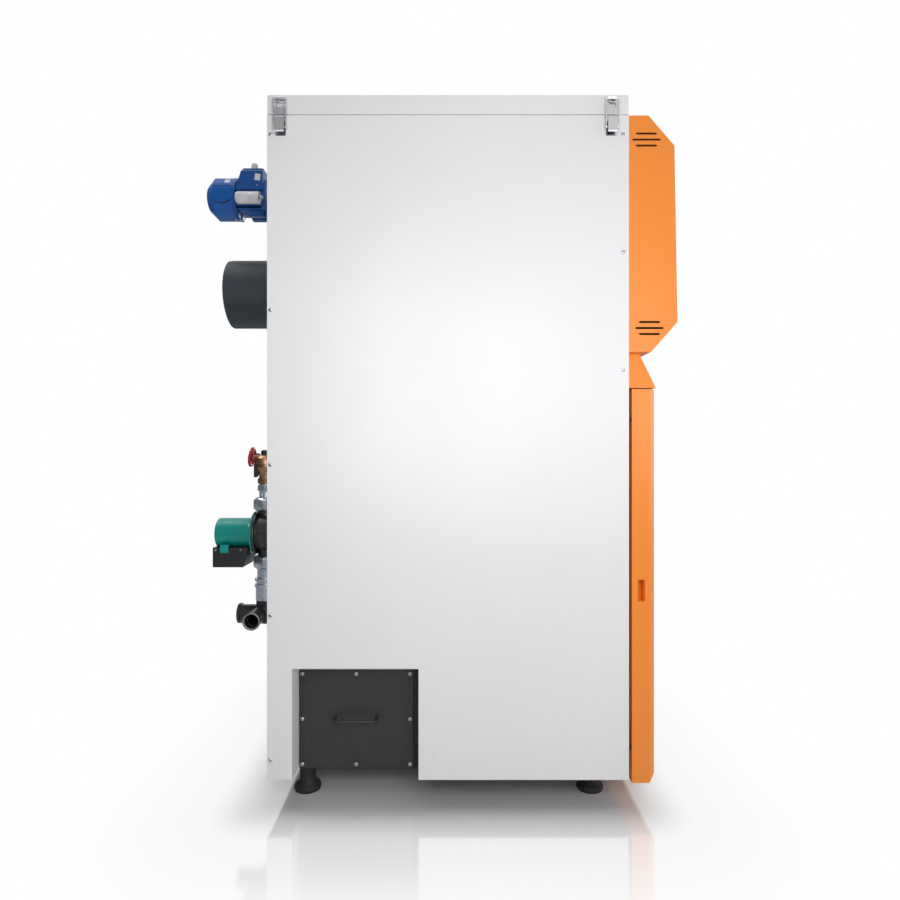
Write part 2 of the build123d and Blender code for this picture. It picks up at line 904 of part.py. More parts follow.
def service_deck():
    """Sheet over the fan compartment, level with the hopper flange."""
    half = inner_x - deck_side_gap
    y0 = hopper_rear_y + hopper_flange
    return block(-half, half, y0, rear_sheet_y - deck_rear_gap, casing_top_z, casing_top_z + hopper_sheet)


def hopper_lid():
    lid = block(-side_x, side_x, casing_front_y, casing_rear_y, casing_top_z, lid_top_z)
    lid = fillet(lid.edges().filter_by(Axis.Z), lid_corner_radius)
    t = panel_sheet
    inside_x = side_x - t
    inside = block(-inside_x, inside_x, casing_front_y + t, casing_rear_y - t, casing_top_z, lid_top_z - t)
    return lid - inside


def lid_seal():
    """Foam strip along the rim of the hopper, just under the lid."""
    z0 = casing_top_z + hopper_rim_height
    z1 = lid_top_z - panel_sheet - seal_gap
    grip = seal_overlap
    out = lid_seal_width - grip
    half = hopper_half_width
    outer = block(-half - out, half + out, hopper_front_y - out, hopper_rear_y + out, z0, z1)
    return outer - block(-half + grip, half - grip, hopper_front_y + grip, hopper_rear_y - grip, z0, z1)


# Ash cover in the recess

def cover_rear_y():
    return recess_rear_y - cover_edge_gap


def cover_screw_places():
    y1 = cover_rear_y() - cover_screw_inset_y
    y0 = cover_rear_y() - cover_width + cover_screw_inset_y
    z0 = cover_bottom_z + cover_screw_inset_z
    z1 = cover_bottom_z + cover_height - cover_screw_inset_z
    middle_y = (y0 + y1) / 2
    middle_z = (z0 + z1) / 2
    corners = [(y0, z0), (y1, z0), (y0, z1), (y1, z1)]
    return corners + [(middle_y, z0), (middle_y, z1), (y0, middle_z), (y1, middle_z)]


def cover_back_x():
    return recess_back_x - panel_sheet - gasket_thickness


def ash_cover():
    x1 = cover_back_x()
    y1 = cover_rear_y()
    cover = block(x1 - cover_sheet, x1, y1 - cover_width, y1, cover_bottom_z, cover_bottom_z + cover_height)
    cover = fillet(cover.edges().filter_by(Axis.X), 2)
    for y, z in cover_screw_places():
        cover -= rod_x(screw_shank_radius + screw_hole_gap, x1 - cover_sheet, x1, y, z)
    return cover


def ash_cover_gasket():
    x0 = cover_back_x()
    x1 = x0 + gasket_thickness
    y0 = cover_rear_y() - cover_width + 2
    y1 = cover_rear_y() - 2
    z0 = casing_bottom_z
    z1 = cover_bottom_z + cover_height - 2
    w = gasket_width
    ring = block(x0, x1, y0, y1, z0, z1) - block(x0, x1, y0 + w, y1 - w, z0 + w, z1 - w)
    for y, z in cover_screw_places():
        ring -= rod_x(screw_shank_radius + screw_hole_gap, x0, x1, y, z)
    return ring


def ash_cover_screws():
    face_x = cover_back_x() - cover_sheet
    length = cover_sheet + gasket_thickness + panel_sheet
    return group([pan_screw(face_x, y, z, -1, length) for y, z in cover_screw_places()])


def ash_cover_handle():
    """Round bar bow, standing on the cover with its two feet."""
    face_x = cover_back_x() - cover_sheet
    middle_y = cover_rear_y() - cover_width / 2
    r = bow_handle_radius
    half = bow_handle_length / 2 - r
    bend = 9.0
    outer_x = face_x - bow_handle_reach + r
    path = FilletPolyline(
        (face_x, middle_y - half, bow_handle_z),
        (outer_x, middle_y - half, bow_handle_z),
        (outer_x, middle_y + half, bow_handle_z),
        (face_x, middle_y + half, bow_handle_z),
        radius=bend,
    )
    section = Plane(origin=path @ 0, z_dir=path % 0) * Circle(r)
    return sweep(section, path=path)


# Front: bonnet, cowl, control unit

def bonnet_outline():
    """Side outline from the top rear corner round the front to the bottom rear corner."""
    top_z = casing_top_z - bonnet_top_drop
    return [
        (casing_front_y, top_z),
        (casing_front_y - bonnet_top_depth, top_z),
        (casing_front_y - bonnet_upper_depth, top_z - bonnet_shoulder_drop),
        (casing_front_y - bonnet_lower_depth, bonnet_bottom_z + bonnet_belly_rise),
        (casing_front_y - bonnet_bottom_depth, bonnet_bottom_z),
        (casing_front_y, bonnet_bottom_z),
    ]


def bonnet_front_plane():
    """Plane on the bonnet's front face, its own y pointing up the face."""
    upper, lower = bonnet_outline()[2:4]
    down_y = lower[0] - upper[0]
    down_z = lower[1] - upper[1]
    length = math.hypot(down_y, down_z)
    share = panel_drop / length
    origin = (0, upper[0] + down_y * share, upper[1] + down_z * share)
    return Plane(origin=origin, x_dir=(1, 0, 0), z_dir=(0, down_z / length, -down_y / length))


def slot_group(middle_y, middle_z):
    """Three rounded slots, the middle one longer, cut through both sides."""
    slots = []
    for step in (-1, 0, 1):
        length = slot_long_length if step == 0 else slot_length
        outline = Pos(middle_y, middle_z + step * slot_pitch) * SlotOverall(length, slot_height)
        slots.append(extrude(Plane.YZ.offset(-side_x) * outline, amount=casing_width, dir=(1, 0, 0)))
    return joined(slots)


def bonnet():
    shell = side_prism(bonnet_outline(), -side_x, side_x)
    shell = offset(shell, amount=-front_sheet, openings=shell.faces().sort_by(Axis.Y)[-1])
    upper_z = casing_top_z - bonnet_top_drop - slot_group_inset
    lower_z = bonnet_bottom_z + slot_group_inset
    shell -= slot_group(casing_front_y - slot_upper_depth, upper_z)
    shell -= slot_group(casing_front_y - slot_lower_depth, lower_z)
    return shell - bonnet_front_plane() * panel_block(0, -4 * front_sheet, 4 * front_sheet)


def panel_block(grow, low, high):
    """Rounded block of the control panel's outline, in the plane of the bonnet front."""
    outline = RectangleRounded(panel_width + 2 * grow, panel_height + 2 * grow, panel_corner)
    return Pos(0, 0, low) * extrude(outline, amount=high - low)


def lower_cowl():
    """Wedge between the bonnet and the door, narrower towards the bonnet."""
    top_z = bonnet_bottom_z
    front_y = casing_front_y - cowl_bottom_depth
    points = [
        (casing_front_y, top_z),
        (casing_front_y - cowl_top_depth, top_z),
        (front_y, cowl_bottom_z),
        (casing_front_y, cowl_bottom_z),
    ]
    top_half = side_x - cowl_taper
    outline = [(-side_x, cowl_bottom_z), (side_x, cowl_bottom_z), (top_half, top_z), (-top_half, top_z)]
    wedge = side_prism(points, -side_x, side_x) & front_prism(outline, front_y, casing_front_y)
    return offset(wedge, amount=-front_sheet, openings=wedge.faces().sort_by(Axis.Y)[-1])


def control_unit():
    """Flush panel with a lip behind the sheet, and seats for the glass, the sunk knob and the rocker."""
    unit = panel_block(0, -panel_body_depth, 0)
    unit += panel_block(panel_lip, -front_sheet - panel_lip_thickness, -front_sheet)
    unit -= Box(glass_width, glass_height, 2 * glass_thickness)
    well = knob_height + 2 * knob_stand_off
    unit -= Pos(knob_offset, 0, -well / 2) * Cylinder(knob_radius + knob_well_gap, well)
    shaft_bore = knob_shaft_radius + hinge_bore_gap
    unit -= Pos(knob_offset, 0, -well - knob_shaft_length / 2) * Cylinder(shaft_bore, knob_shaft_length)
    well_depth = rocker_depth + 8
    slot = Box(rocker_width + 1, rocker_length + 2 * rocker_gap, well_depth)
    unit -= Pos(rocker_offset, 0, -well_depth / 2) * slot
    pin = Rot(0, 90, 0) * Cylinder(rocker_pin_radius + hinge_bore_gap, rocker_width + 6)
    unit -= Pos(rocker_offset, 0, -rocker_sink) * pin
    return bonnet_front_plane() * unit


def display_glass():
    size_x = glass_width - 2 * glass_gap
    size_y = glass_height - 2 * glass_gap
    glass = Pos(0, 0, -glass_thickness / 2) * Box(size_x, size_y, glass_thickness)
    return bonnet_front_plane() * glass


def control_knob():
    """Knob with a pointer ridge and finger scallops on its shaft, sunk in the panel."""
    top = -knob_stand_off
    middle = top - knob_height / 2
    cap = Pos(0, 0, middle) * Cylinder(knob_radius, knob_height)
    cap = fillet(cap.edges().group_by(Axis.Z)[-1], 1.5)
    for place in PolarLocations(knob_radius + 1.2, 12):
        cap -= Pos(0, 0, middle) * place * Cylinder(2.4, knob_height)
    cap -= Pos(0, knob_radius * 0.45, top) * Box(1.6, knob_radius * 0.8, 1.6)
    shaft_length = knob_shaft_length
    shaft = Pos(0, 0, top - knob_height - shaft_length / 2) * Cylinder(knob_shaft_radius, shaft_length)
    return bonnet_front_plane() * (Pos(knob_offset, 0, 0) * (cap + shaft))


def mains_rocker():
    """Rocker on a cross pin, at rest with its lower end pressed in."""
    half = rocker_length / 2
    points = [
        (-half, 1.2),
        (0, -0.4),
        (half, 1.2),
        (half - 2, -rocker_depth),
        (-half + 2, -rocker_depth),
    ]
    body = side_prism(points, -rocker_width / 2, rocker_width / 2)
    pin = Rot(0, 90, 0) * Cylinder(rocker_pin_radius, rocker_width + 4)
    rocker = Rot(rocker_tilt, 0, 0) * (body + pin)
    return bonnet_front_plane() * (Pos(rocker_offset, 0, -rocker_sink) * rocker)


# Door

def door_panel():
    """Tray of sheet with bevelled front edges, closed behind by its back sheet, and the finger pull."""
    shell = block(-side_x, side_x, door_front_y, door_rear_y, door_bottom_z, door_top_z)
    front = shell.faces().sort_by(Axis.Y)[0]
    uprights = front.edges().filter_by(Axis.Z)
    bottom = front.edges().filter_by(Axis.X).sort_by(Axis.Z)[0]
    shell = chamfer(uprights + [bottom], door_bevel)
    shell = offset(shell, amount=-front_sheet, openings=shell.faces().sort_by(Axis.Y)[-1])
    shell += pull_box(front_sheet)
    shell -= pull_box(0)
    back = block(-side_x + front_sheet, side_x - front_sheet, door_rear_y - front_sheet, door_rear_y,
                 door_bottom_z + front_sheet, door_top_z - front_sheet)
    for hinge_z in door_hinge_heights:
        for offset_z in (-12, 12):
            shell -= rod_x(1.6, side_x - front_sheet, side_x, door_rear_y - 26, hinge_z + offset_z)
    return shell + back


def pull_box(wall):
    """Space of the finger pull in the -X edge, or its box when a wall is given. The floor slopes."""
    y1 = door_rear_y - pull_rear_inset + wall
    y0 = y1 - pull_width - 2 * wall
    z0 = pull_bottom_z - wall
    z1 = pull_bottom_z + pull_height + wall
    points = [
        (-side_x, y0),
        (-side_x, y1),
        (-side_x + pull_depth * 0.35 + wall, y1),
        (-side_x + pull_depth + wall, y0),
    ]
    outline = make_face(Plane.XY.offset(z0) * Polyline(*points, close=True))
    return extrude(outline, amount=z1 - z0, dir=(0, 0, 1))


def door_plug():
    """Steel box on the back of the door that reaches into the firebox opening."""
    y0 = door_rear_y
    y1 = body_front_y - rope_thickness - seal_gap - board_thickness
    half = plug_half_width
    box = block(-half, half, y0, y1, plug_bottom_z, plug_top_z)
    t = plug_sheet
    box -= block(-half + t, half - t, y0 + t, y1 - t, plug_bottom_z + t, plug_top_z - t)
    flange = block(-half - 8, half + 8, y0, y0 + t, plug_bottom_z - 6, plug_top_z + 6)
    return box + flange - block(-half + 30, half - 30, y0, y0 + t, plug_bottom_z + 30, plug_top_z - 30)


def door_board():
    """Heat resisting board that faces the fire, with a groove for the rope."""
    y0 = body_front_y - rope_thickness - seal_gap - board_thickness
    y1 = y0 + board_thickness
    half = plug_half_width
    board = block(-half, half, y0, y1, plug_bottom_z, plug_top_z)
    return fillet(board.edges().filter_by(Axis.Y), 6)


def door_rope():
    """Rope ring on the board, pressed to the front plate of the boiler body."""
    y0 = body_front_y - rope_thickness - seal_gap
    y1 = body_front_y - seal_gap
    half = plug_half_width - 1
    z0 = plug_bottom_z + 1
    z1 = plug_top_z - 1
    w = rope_width
    outer = fillet(block(-half, half, y0, y1, z0, z1).edges().filter_by(Axis.Y), 6)
    return outer - block(-half + w, half - w, y0, y1, z0 + w, z1 - w)


def door_bumpers():
    """Soft stops on the casing front, just short of the closed door."""
    bumpers = []
    for side in (-1, 1):
        for z in bumper_heights:
            x = side * (side_x - bumper_inset)
            bumper = rod_y(bumper_radius, casing_front_y - bumper_length, casing_front_y, x, z)
            bumpers.append(chamfer(bumper.edges().group_by(Axis.Y)[0], 0.8))
    return bumpers


def rubber_trim():
    """Seal of the lid and the stops of the door."""
    return group([lid_seal()] + door_bumpers())


# Hinges

def knuckle_z(low_z, leaf_y0, leaf_y1, screw_y):
    """One upright knuckle with its leaf on the +X face, from leaf_y0 to leaf_y1."""
    high_z = low_z + hinge_knuckle_length
    x, y = hinge_axis_x, door_hinge_y
    knuckle = rod_z(hinge_knuckle_radius, low_z, high_z, x, y)
    leaf = block(side_x, side_x + hinge_leaf_thickness, leaf_y0, leaf_y1, low_z, high_z)
    web_y0 = min(max(leaf_y0, y - hinge_knuckle_radius), y)
    web_y1 = max(min(leaf_y1, y + hinge_knuckle_radius), y)
    web = block(side_x, x, web_y0, web_y1, low_z, high_z)
    bore = rod_z(hinge_pin_radius + hinge_bore_gap, low_z, high_z, x, y)
    screw = rod_x(4, side_x + hinge_leaf_thickness, side_x + hinge_leaf_thickness + 1.6,
                  screw_y, (low_z + high_z) / 2)
    return knuckle + leaf + web - bore + chamfer(screw.edges().group_by(Axis.X)[-1], 1)


def door_hinge_pieces():
    """Lower knuckles and pins on the casing, upper knuckles on the door."""
    fixed = []
    moving = []
    for z in door_hinge_heights:
        low = z - hinge_knuckle_length - hinge_knuckle_gap / 2
        high = z + hinge_knuckle_gap / 2
        fixed.append(knuckle_z(low, casing_front_y, casing_front_y + hinge_leaf_reach,
                               casing_front_y + hinge_leaf_reach - 8))
        moving.append(knuckle_z(high, door_rear_y - hinge_leaf_reach, door_rear_y,
                                door_rear_y - hinge_leaf_reach + 8))
    return fixed, moving


def door_hinge_fixed():
    return group(door_hinge_pieces()[0])


def door_hinge_moving():
    return group(door_hinge_pieces()[1])


def door_hinge_pins():
    pins = []
    for z in door_hinge_heights:
        span = hinge_knuckle_length + hinge_knuckle_gap / 2
        pin = rod_z(hinge_pin_radius, z - span, z + span, hinge_axis_x, door_hinge_y)
        top = z + span + hinge_knuckle_gap / 2
        head = rod_z(hinge_pin_head_radius, top, top + hinge_pin_head_height, hinge_axis_x, door_hinge_y)
        neck = rod_z(hinge_pin_radius, z + span, top, hinge_axis_x, door_hinge_y)
        pins.append(joined([pin, neck, chamfer(head.edges().group_by(Axis.Z)[-1], 0.8)]))
    return group(pins)


def knuckle_y(low_y, leaf_z0, leaf_z1):
    """One level knuckle with its leaf on the +X face, from leaf_z0 to leaf_z1."""
    high_y = low_y + hinge_knuckle_length
    x, z = hinge_axis_x, lid_hinge_z
    knuckle = rod_y(hinge_knuckle_radius, low_y, high_y, x, z)
    leaf = block(side_x, side_x + hinge_leaf_thickness, low_y, high_y, leaf_z0, leaf_z1)
    web_z0 = min(max(leaf_z0, z - hinge_knuckle_radius), z)
    web_z1 = max(min(leaf_z1, z + hinge_knuckle_radius), z)
    web = block(side_x, x, low_y, high_y, web_z0, web_z1)
    return knuckle + leaf + web - rod_y(hinge_pin_radius + hinge_bore_gap, low_y, high_y, x, z)


def lid_hinge_pieces():
    """Two fixed knuckles under the split and one moving knuckle between them, for each hinge."""
    step = hinge_knuckle_length + hinge_knuckle_gap
    fixed = []
    moving = []
    for y in lid_hinge_places:
        start = y - hinge_knuckle_length / 2
        for low_y in (start - step, start + step):
            fixed.append(knuckle_y(low_y, casing_top_z - hinge_leaf_reach, casing_top_z))
        moving.append(knuckle_y(start, casing_top_z, casing_top_z + hinge_leaf_reach))
    return fixed, moving


def lid_hinge_fixed():
    return group(lid_hinge_pieces()[0])


def lid_hinge_moving():
    return group(lid_hinge_pieces()[1])


def lid_hinge_pins():
    half = 1.5 * hinge_knuckle_length + hinge_knuckle_gap
    pins = []
    for y in lid_hinge_places:
        pin = rod_y(hinge_pin_radius, y - half, y + half, hinge_axis_x, lid_hinge_z)
        for y0 in (y - half - hinge_pin_head_height, y + half):
            pin += rod_y(hinge_pin_head_radius, y0, y0 + hinge_pin_head_height, hinge_axis_x, lid_hinge_z)
        pins.append(pin)
    return group(pins)


# Toggle latches, drawn on the plane x = 0 of the casing side, outward along -X, with their middle at y = 0

def tangent_point(point_x, point_z, radius, side):
    """Where a line from a point touches a circle round the origin, on the chosen side."""
    distance = math.hypot(point_x, point_z)
    turn = math.atan2(point_z, point_x) + side * math.acos(radius / distance)
    return radius * math.cos(turn), radius * math.sin(turn)


def latch_base():
    """Plate with two raking ears and the pivot pin of the lever."""
    half = latch_base_width / 2
    top_z = latch_base_bottom_z + latch_base_height
    plate = block(-latch_base_sheet, 0, -half, half, latch_base_bottom_z, top_z)
    plate = fillet(plate.edges().filter_by(Axis.X), 2)
    reach = latch_pivot_reach
    plate_x = reach - latch_base_sheet
    upper_x, upper_z = tangent_point(plate_x, -latch_ear_top_drop, latch_ear_radius, 1)
    lower_x, lower_z = tangent_point(plate_x, -latch_ear_low_drop, latch_ear_radius, -1)
    outline = [
        (upper_x, upper_z),
        (plate_x, -latch_ear_top_drop),
        (reach, -latch_ear_top_drop),
        (reach, -latch_ear_low_drop),
        (plate_x, -latch_ear_low_drop),
        (lower_x, lower_z),
        (0, 0),
    ]
    points = [(x - reach, latch_pivot_z + z) for x, z in outline]
    for side in (-1, 1):
        y0, y1 = sorted((side * latch_ear_inner, side * (latch_ear_inner + latch_ear_sheet)))
        tip = rod_y(latch_ear_radius, y0, y1, -reach, latch_pivot_z)
        plate = plate + front_prism(points, y0, y1) + tip
    pin_half = lever_width / 2
    return plate + rod_y(latch_pin_radius, -pin_half, pin_half, -reach, latch_pivot_z)


def latch_lever():
    """Channel that covers the base, with the curled lip at its lower end."""
    half = lever_width / 2
    t = lever_sheet
    reach = lever_cover_reach
    inner = latch_ear_inner + latch_ear_sheet + 0.4
    cover_top_z = latch_pivot_z + 4
    cover = block(-reach, -reach + t, -half, half, lever_bottom_z + 4, cover_top_z)
    lip = [
        (-reach, lever_bottom_z + 4),
        (-reach + t, lever_bottom_z + 4),
        (-reach + t - 2, lever_bottom_z),
        (-reach - 2, lever_bottom_z),
    ]
    lever = cover + front_prism(lip, -half, half)
    cheek_bottom_z = bail_pivot_z - 4
    for side in (-1, 1):
        y0, y1 = sorted((side * inner, side * (inner + t)))
        cheek = block(-reach, -latch_pivot_reach, y0, y1, cheek_bottom_z, cover_top_z)
        nose = Pos(-latch_pivot_reach, (y0 + y1) / 2, latch_pivot_z) * Rot(90, 0, 0) * Cylinder(4, t)
        tail_points = [
            (-latch_pivot_reach, latch_pivot_z + 3),
            (-latch_pivot_reach, cheek_bottom_z),
            (-bail_pivot_reach + 3, cheek_bottom_z),
            (-bail_pivot_reach + 3, bail_pivot_z + 3),
        ]
        lever = lever + cheek + nose + front_prism(tail_points, y0, y1)
    lever -= rod_y(latch_pin_radius + latch_bore_gap, -half, half, -latch_pivot_reach, latch_pivot_z)
    lever += rod_y(latch_pin_radius, -bail_width / 2, bail_width / 2, -bail_pivot_reach, bail_pivot_z)
    return lever - rod_y(latch_pin_radius, -inner, inner, -bail_pivot_reach, bail_pivot_z)


def latch_bail():
    """Wire loop with its eyes on the lever, a web plate and the cross bar over the keeper."""
    r = bail_wire_radius
    arm_y = bail_width / 2 - r
    rise = bail_bar_z - bail_pivot_z
    lean = math.degrees(math.atan2(bail_bar_reach - bail_pivot_reach, rise))
    arm_length = math.hypot(rise, bail_bar_reach - bail_pivot_reach)
    bail = rod_y(r, -arm_y - r, arm_y + r, -bail_bar_reach, bail_bar_z)
    for side in (-1, 1):
        y = side * arm_y
        arm = Pos(0, 0, arm_length / 2) * Box(2 * r - 0.4, 2 * r - 0.4, arm_length)
        bail += Pos(-bail_pivot_reach, y, bail_pivot_z) * Rot(0, -lean, 0) * arm
        bail += rod_y(latch_pin_radius + 1.8, y - r, y + r, -bail_pivot_reach, bail_pivot_z)
    web_x = -bail_pivot_reach - (bail_bar_reach - bail_pivot_reach) * 0.55
    web = block(web_x - 0.6, web_x + 0.6, -arm_y, arm_y, bail_web_bottom_z, bail_web_top_z)
    bail += web
    half = bail_width / 2
    return bail - rod_y(latch_pin_radius + latch_bore_gap, -half, half, -bail_pivot_reach, bail_pivot_z)


def latch_keeper():
    """Plate on the lid with a hooked lip for the cross bar."""
    half = keeper_width / 2
    plate = block(-latch_base_sheet, 0, -half, half, keeper_bottom_z, keeper_top_z)
    lip_z = bail_bar_z + 3
    lip = [
        (-latch_base_sheet, lip_z),
        (-keeper_reach + 1, lip_z - 1),
        (-keeper_reach, lip_z + 1),
        (-keeper_reach + 1.4, keeper_top_z - 1),
        (-latch_base_sheet, keeper_top_z),
    ]
    return plate + front_prism(lip, -half, half)


def at_latch(piece, y):
    return Pos(-side_x, y, 0) * piece


def latch_bases():
    return group([at_latch(latch_base(), y) for y in (latch_front_y, latch_rear_y)])


def latch_keepers():
    return group([at_latch(latch_keeper(), y) for y in (latch_front_y, latch_rear_y)])


# Boiler body

def tube_places():
    """Axes of the smoke tubes, the first row going down and the other rows going up."""
    down = [(x, tube_down_y) for x in tube_places_x]
    up = [(x, y) for x in tube_places_x for y in tube_up_rows_y]
    return down, up


def fire_passage():
    """The way for the fuel through the roofs of the firebox and the body."""
    return rod_z(drop_radius + drop_gap, firebox_top_z, body_top_z, 0, drop_y)


def collector_space(wall):
    """Fly ash collector with its mouth at the side recess, grown by a wall."""
    return block(recess_back_x, firebox_half_width + wall, collector_front_y - wall, collector_rear_y + wall,
                 collector_bottom_z - wall, collector_top_z + wall)


def tube_bores(places, z0, z1):
    return joined([rod_z(tube_bore_radius, z0, z1, x, y) for x, y in places])


def jacket_plates():
    """Outer plates of the water space, cut for the fire door, the collector, the tubes and the sockets."""
    half = body_half_width
    w = body_wall
    y0 = body_front_y + fire_wall
    y1 = body_rear_y - w
    z0 = frame_top_z + w
    z1 = body_top_z - w
    door_x = firebox_half_width
    door = block(-door_x, door_x, body_front_y, y0, fire_opening_bottom_z, fire_opening_top_z)
    front = block(-half, half, body_front_y, y0, frame_top_z, body_top_z) - door
    floor = block(-half, half, y0, body_rear_y, frame_top_z, z0)
    roof = block(-half, half, y0, body_rear_y, z1, body_top_z) - fire_passage()
    roof -= tube_bores(tube_places()[1], z1, body_top_z)
    rear = block(-half, half, y1, body_rear_y, z0, z1)
    for x, z in ((0, return_z), (flow_x, flow_z)):
        rear -= rod_y(socket_outer_radius + socket_hole_gap, y1, body_rear_y, x, z)
    left = block(-half, w - half, y0, y1, z0, z1) - collector_space(fire_wall)
    right = block(half - w, half, y0, y1, z0, z1)
    return [front, floor, roof, rear, left, right]


def fire_plates():
    """Plates of the firebox and of the turning chamber behind its top, set against the front plate."""
    half = firebox_half_width
    t = fire_wall
    y0 = body_front_y + t
    rear_y = firebox_rear_y + t
    turn_y = turn_rear_y + t
    floor_z = firebox_floor_z - t
    step_z = turn_bottom_z - t
    roof_z = firebox_top_z + t
    outline = [(y0, floor_z), (rear_y, floor_z), (rear_y, step_z), (turn_y, step_z)]
    outline += [(turn_y, roof_z), (y0, roof_z)]
    left = side_prism(outline, -half - t, -half)
    right = side_prism(outline, half, half + t)
    floor = block(-half, half, y0, rear_y, floor_z, firebox_floor_z)
    rear = block(-half, half, firebox_rear_y, rear_y, firebox_floor_z, turn_bottom_z)
    step = block(-half, half, rear_y, turn_y, step_z, turn_bottom_z)
    step -= tube_bores(tube_places()[0], step_z, turn_bottom_z)
    turn = block(-half, half, turn_rear_y, turn_y, turn_bottom_z, firebox_top_z)
    roof = block(-half, half, y0, turn_y, firebox_top_z, roof_z) - fire_passage()
    return [left, right, floor, rear, step, turn, roof]


def collector_plates():
    """Plates of the box under all smoke tubes, on the floor of the water space."""
    t = fire_wall
    x1 = firebox_half_width
    y0 = collector_front_y
    y1 = collector_rear_y
    z0 = collector_bottom_z
    z1 = collector_top_z
    down, up = tube_places()
    floor = block(recess_back_x, x1 + t, y0 - t, y1 + t, z0 - t, z0)
    roof = block(recess_back_x, x1 + t, y0 - t, y1 + t, z1, z1 + t) - tube_bores(down + up, z1, z1 + t)
    front = block(recess_back_x, x1 + t, y0 - t, y0, z0, z1)
    rear = block(recess_back_x, x1 + t, y1, y1 + t, z0, z1)
    end = block(x1, x1 + t, y0, y1, z0, z1)
    return [floor, roof, front, rear, end]


def water_socket(end_y, x, z):
    """Socket through the rear wall, with its welding ring."""
    y0 = body_rear_y - body_wall
    socket = rod_y(socket_outer_radius, y0, end_y, x, z)
    ring = rod_y(socket_outer_radius + socket_ring_width, body_rear_y, body_rear_y + socket_ring_depth, x, z)
    return socket + ring - rod_y(socket_bore_radius, y0, end_y, x, z)


def boiler_body():
    """Body welded from plates, with the fuel sleeve, the grate ledges and the water sockets."""
    sleeve_radius = drop_radius + drop_gap
    jacket = jacket_plates()
    low_z = firebox_top_z + fire_wall
    sleeve = tube_z(sleeve_radius + body_wall, sleeve_radius, low_z, body_top_z - body_wall, 0, drop_y)
    sleeve -= jacket[0]
    return_socket = water_socket(return_socket_end_y, 0, return_z)
    sockets = [return_socket, water_socket(flow_socket_end_y, flow_x, flow_z)]
    plates = jacket + fire_plates() + collector_plates()
    return group(plates + grate_brackets() + [sleeve] + sockets)


def flue_tubes():
    """Smoke tubes between the collector, the turning chamber and the top of the body."""
    outer = tube_bore_radius + tube_wall
    low_z = collector_top_z + fire_wall
    down, up = tube_places()
    tubes = [tube_z(outer, tube_bore_radius, low_z, turn_bottom_z - fire_wall, x, y) for x, y in down]
    tubes += [tube_z(outer, tube_bore_radius, low_z, body_top_z - body_wall, x, y) for x, y in up]
    return group(tubes)


def insulation():
    """Mineral wool slabs round and over the upper body, open at the smoke and fuel passages."""
    half = body_half_width + insulation_gap
    t = insulation_thickness
    top_z = body_top_z + insulation_gap
    rear_y = body_rear_y + insulation_gap
    front_y = body_front_y + insulation_front_inset
    gap = passage_gap
    duct_half = riser_half_width + gap
    socket_hole = socket_outer_radius + socket_ring_width + gap
    wool = block(-half - t, half + t, front_y, rear_y + t, insulation_bottom_z, top_z + t)
    wool -= block(-half, half, front_y, rear_y, insulation_bottom_z, top_z)
    wool -= block(-duct_half, duct_half, riser_front_y - gap, riser_hood_rear_y + gap, top_z, top_z + t)
    wool -= rod_z(drop_radius + gap, top_z, top_z + t, 0, drop_y)
    wool -= rod_y(socket_hole, rear_y, rear_y + t, 0, return_z)
    return wool - rod_y(socket_hole, rear_y, rear_y + t, flow_x, flow_z)


def turbulators():
    """Folded strips that hang in the up tubes from cross wires."""
    width = tube_bore_radius - turbulator_side_gap
    top_z = body_top_z - turbulator_drop
    first_z = top_z - turbulator_stem
    folds = int((first_z - collector_top_z) * turbulator_share / turbulator_fold)
    sheet = turbulator_sheet
    strips = []
    for x, y in tube_places()[1]:
        points = []
        for fold in range(folds):
            side = 1 if fold % 2 else -1
            points.append((x + side * width, first_z - fold * turbulator_fold))
        back = [(px + sheet, pz) for px, pz in reversed(points)]
        strip = front_prism(points + back, y - turbulator_half_depth, y + turbulator_half_depth)
        stem = block(x - width, x - width + sheet, y - 3, y + 3, first_z, top_z)
        wire_half = tube_bore_radius - 0.3
        wire_z = top_z - 2 * turbulator_wire_radius
        wire = rod_x(turbulator_wire_radius, x - wire_half, x + wire_half, y, wire_z)
        strips.append(joined([strip, stem, wire]))
    return group(strips)


# Fuel feed

def hopper_rims():
    """Height, half width, front and rear of the hopper at each of its edges, from the outlet up."""
    outlet = (hopper_outlet_half_width, hopper_outlet_front_y, hopper_outlet_rear_y)
    mouth = (hopper_half_width, hopper_front_y, hopper_rear_y)
    outlet_z = hopper_outlet_z()
    return [
        (outlet_z - hopper_collar_height, *outlet),
        (outlet_z, *outlet),
        (hopper_break_z, *mouth),
        (casing_top_z + hopper_rim_height, *mouth),
    ]


def hopper_sheets(low, high):
    """Four sheets between two rims, the front and rear ones set between the side ones."""
    t = hopper_sheet

    def space(inset):
        outlines = []
        for z, half, y0, y1 in (low, high):
            outline = Rectangle(2 * (half - inset), y1 - y0 - 2 * inset)
            outlines.append(Plane.XY.offset(z) * Pos(0, (y0 + y1) / 2) * outline)
        return loft(outlines, ruled=True)

    walls = space(0) - space(t)
    low_z, low_half, low_front, low_rear = low
    high_z, high_half, high_front, high_rear = high
    inner = [(t - low_half, low_z), (low_half - t, low_z), (high_half - t, high_z), (t - high_half, high_z)]
    between = front_prism(inner, min(low_front, high_front), max(low_rear, high_rear))
    return group([walls & between, walls - between])


def hopper_outlet_z():
    return auger_z + auger_tube_radius + hopper_collar_height + hopper_collar_rise


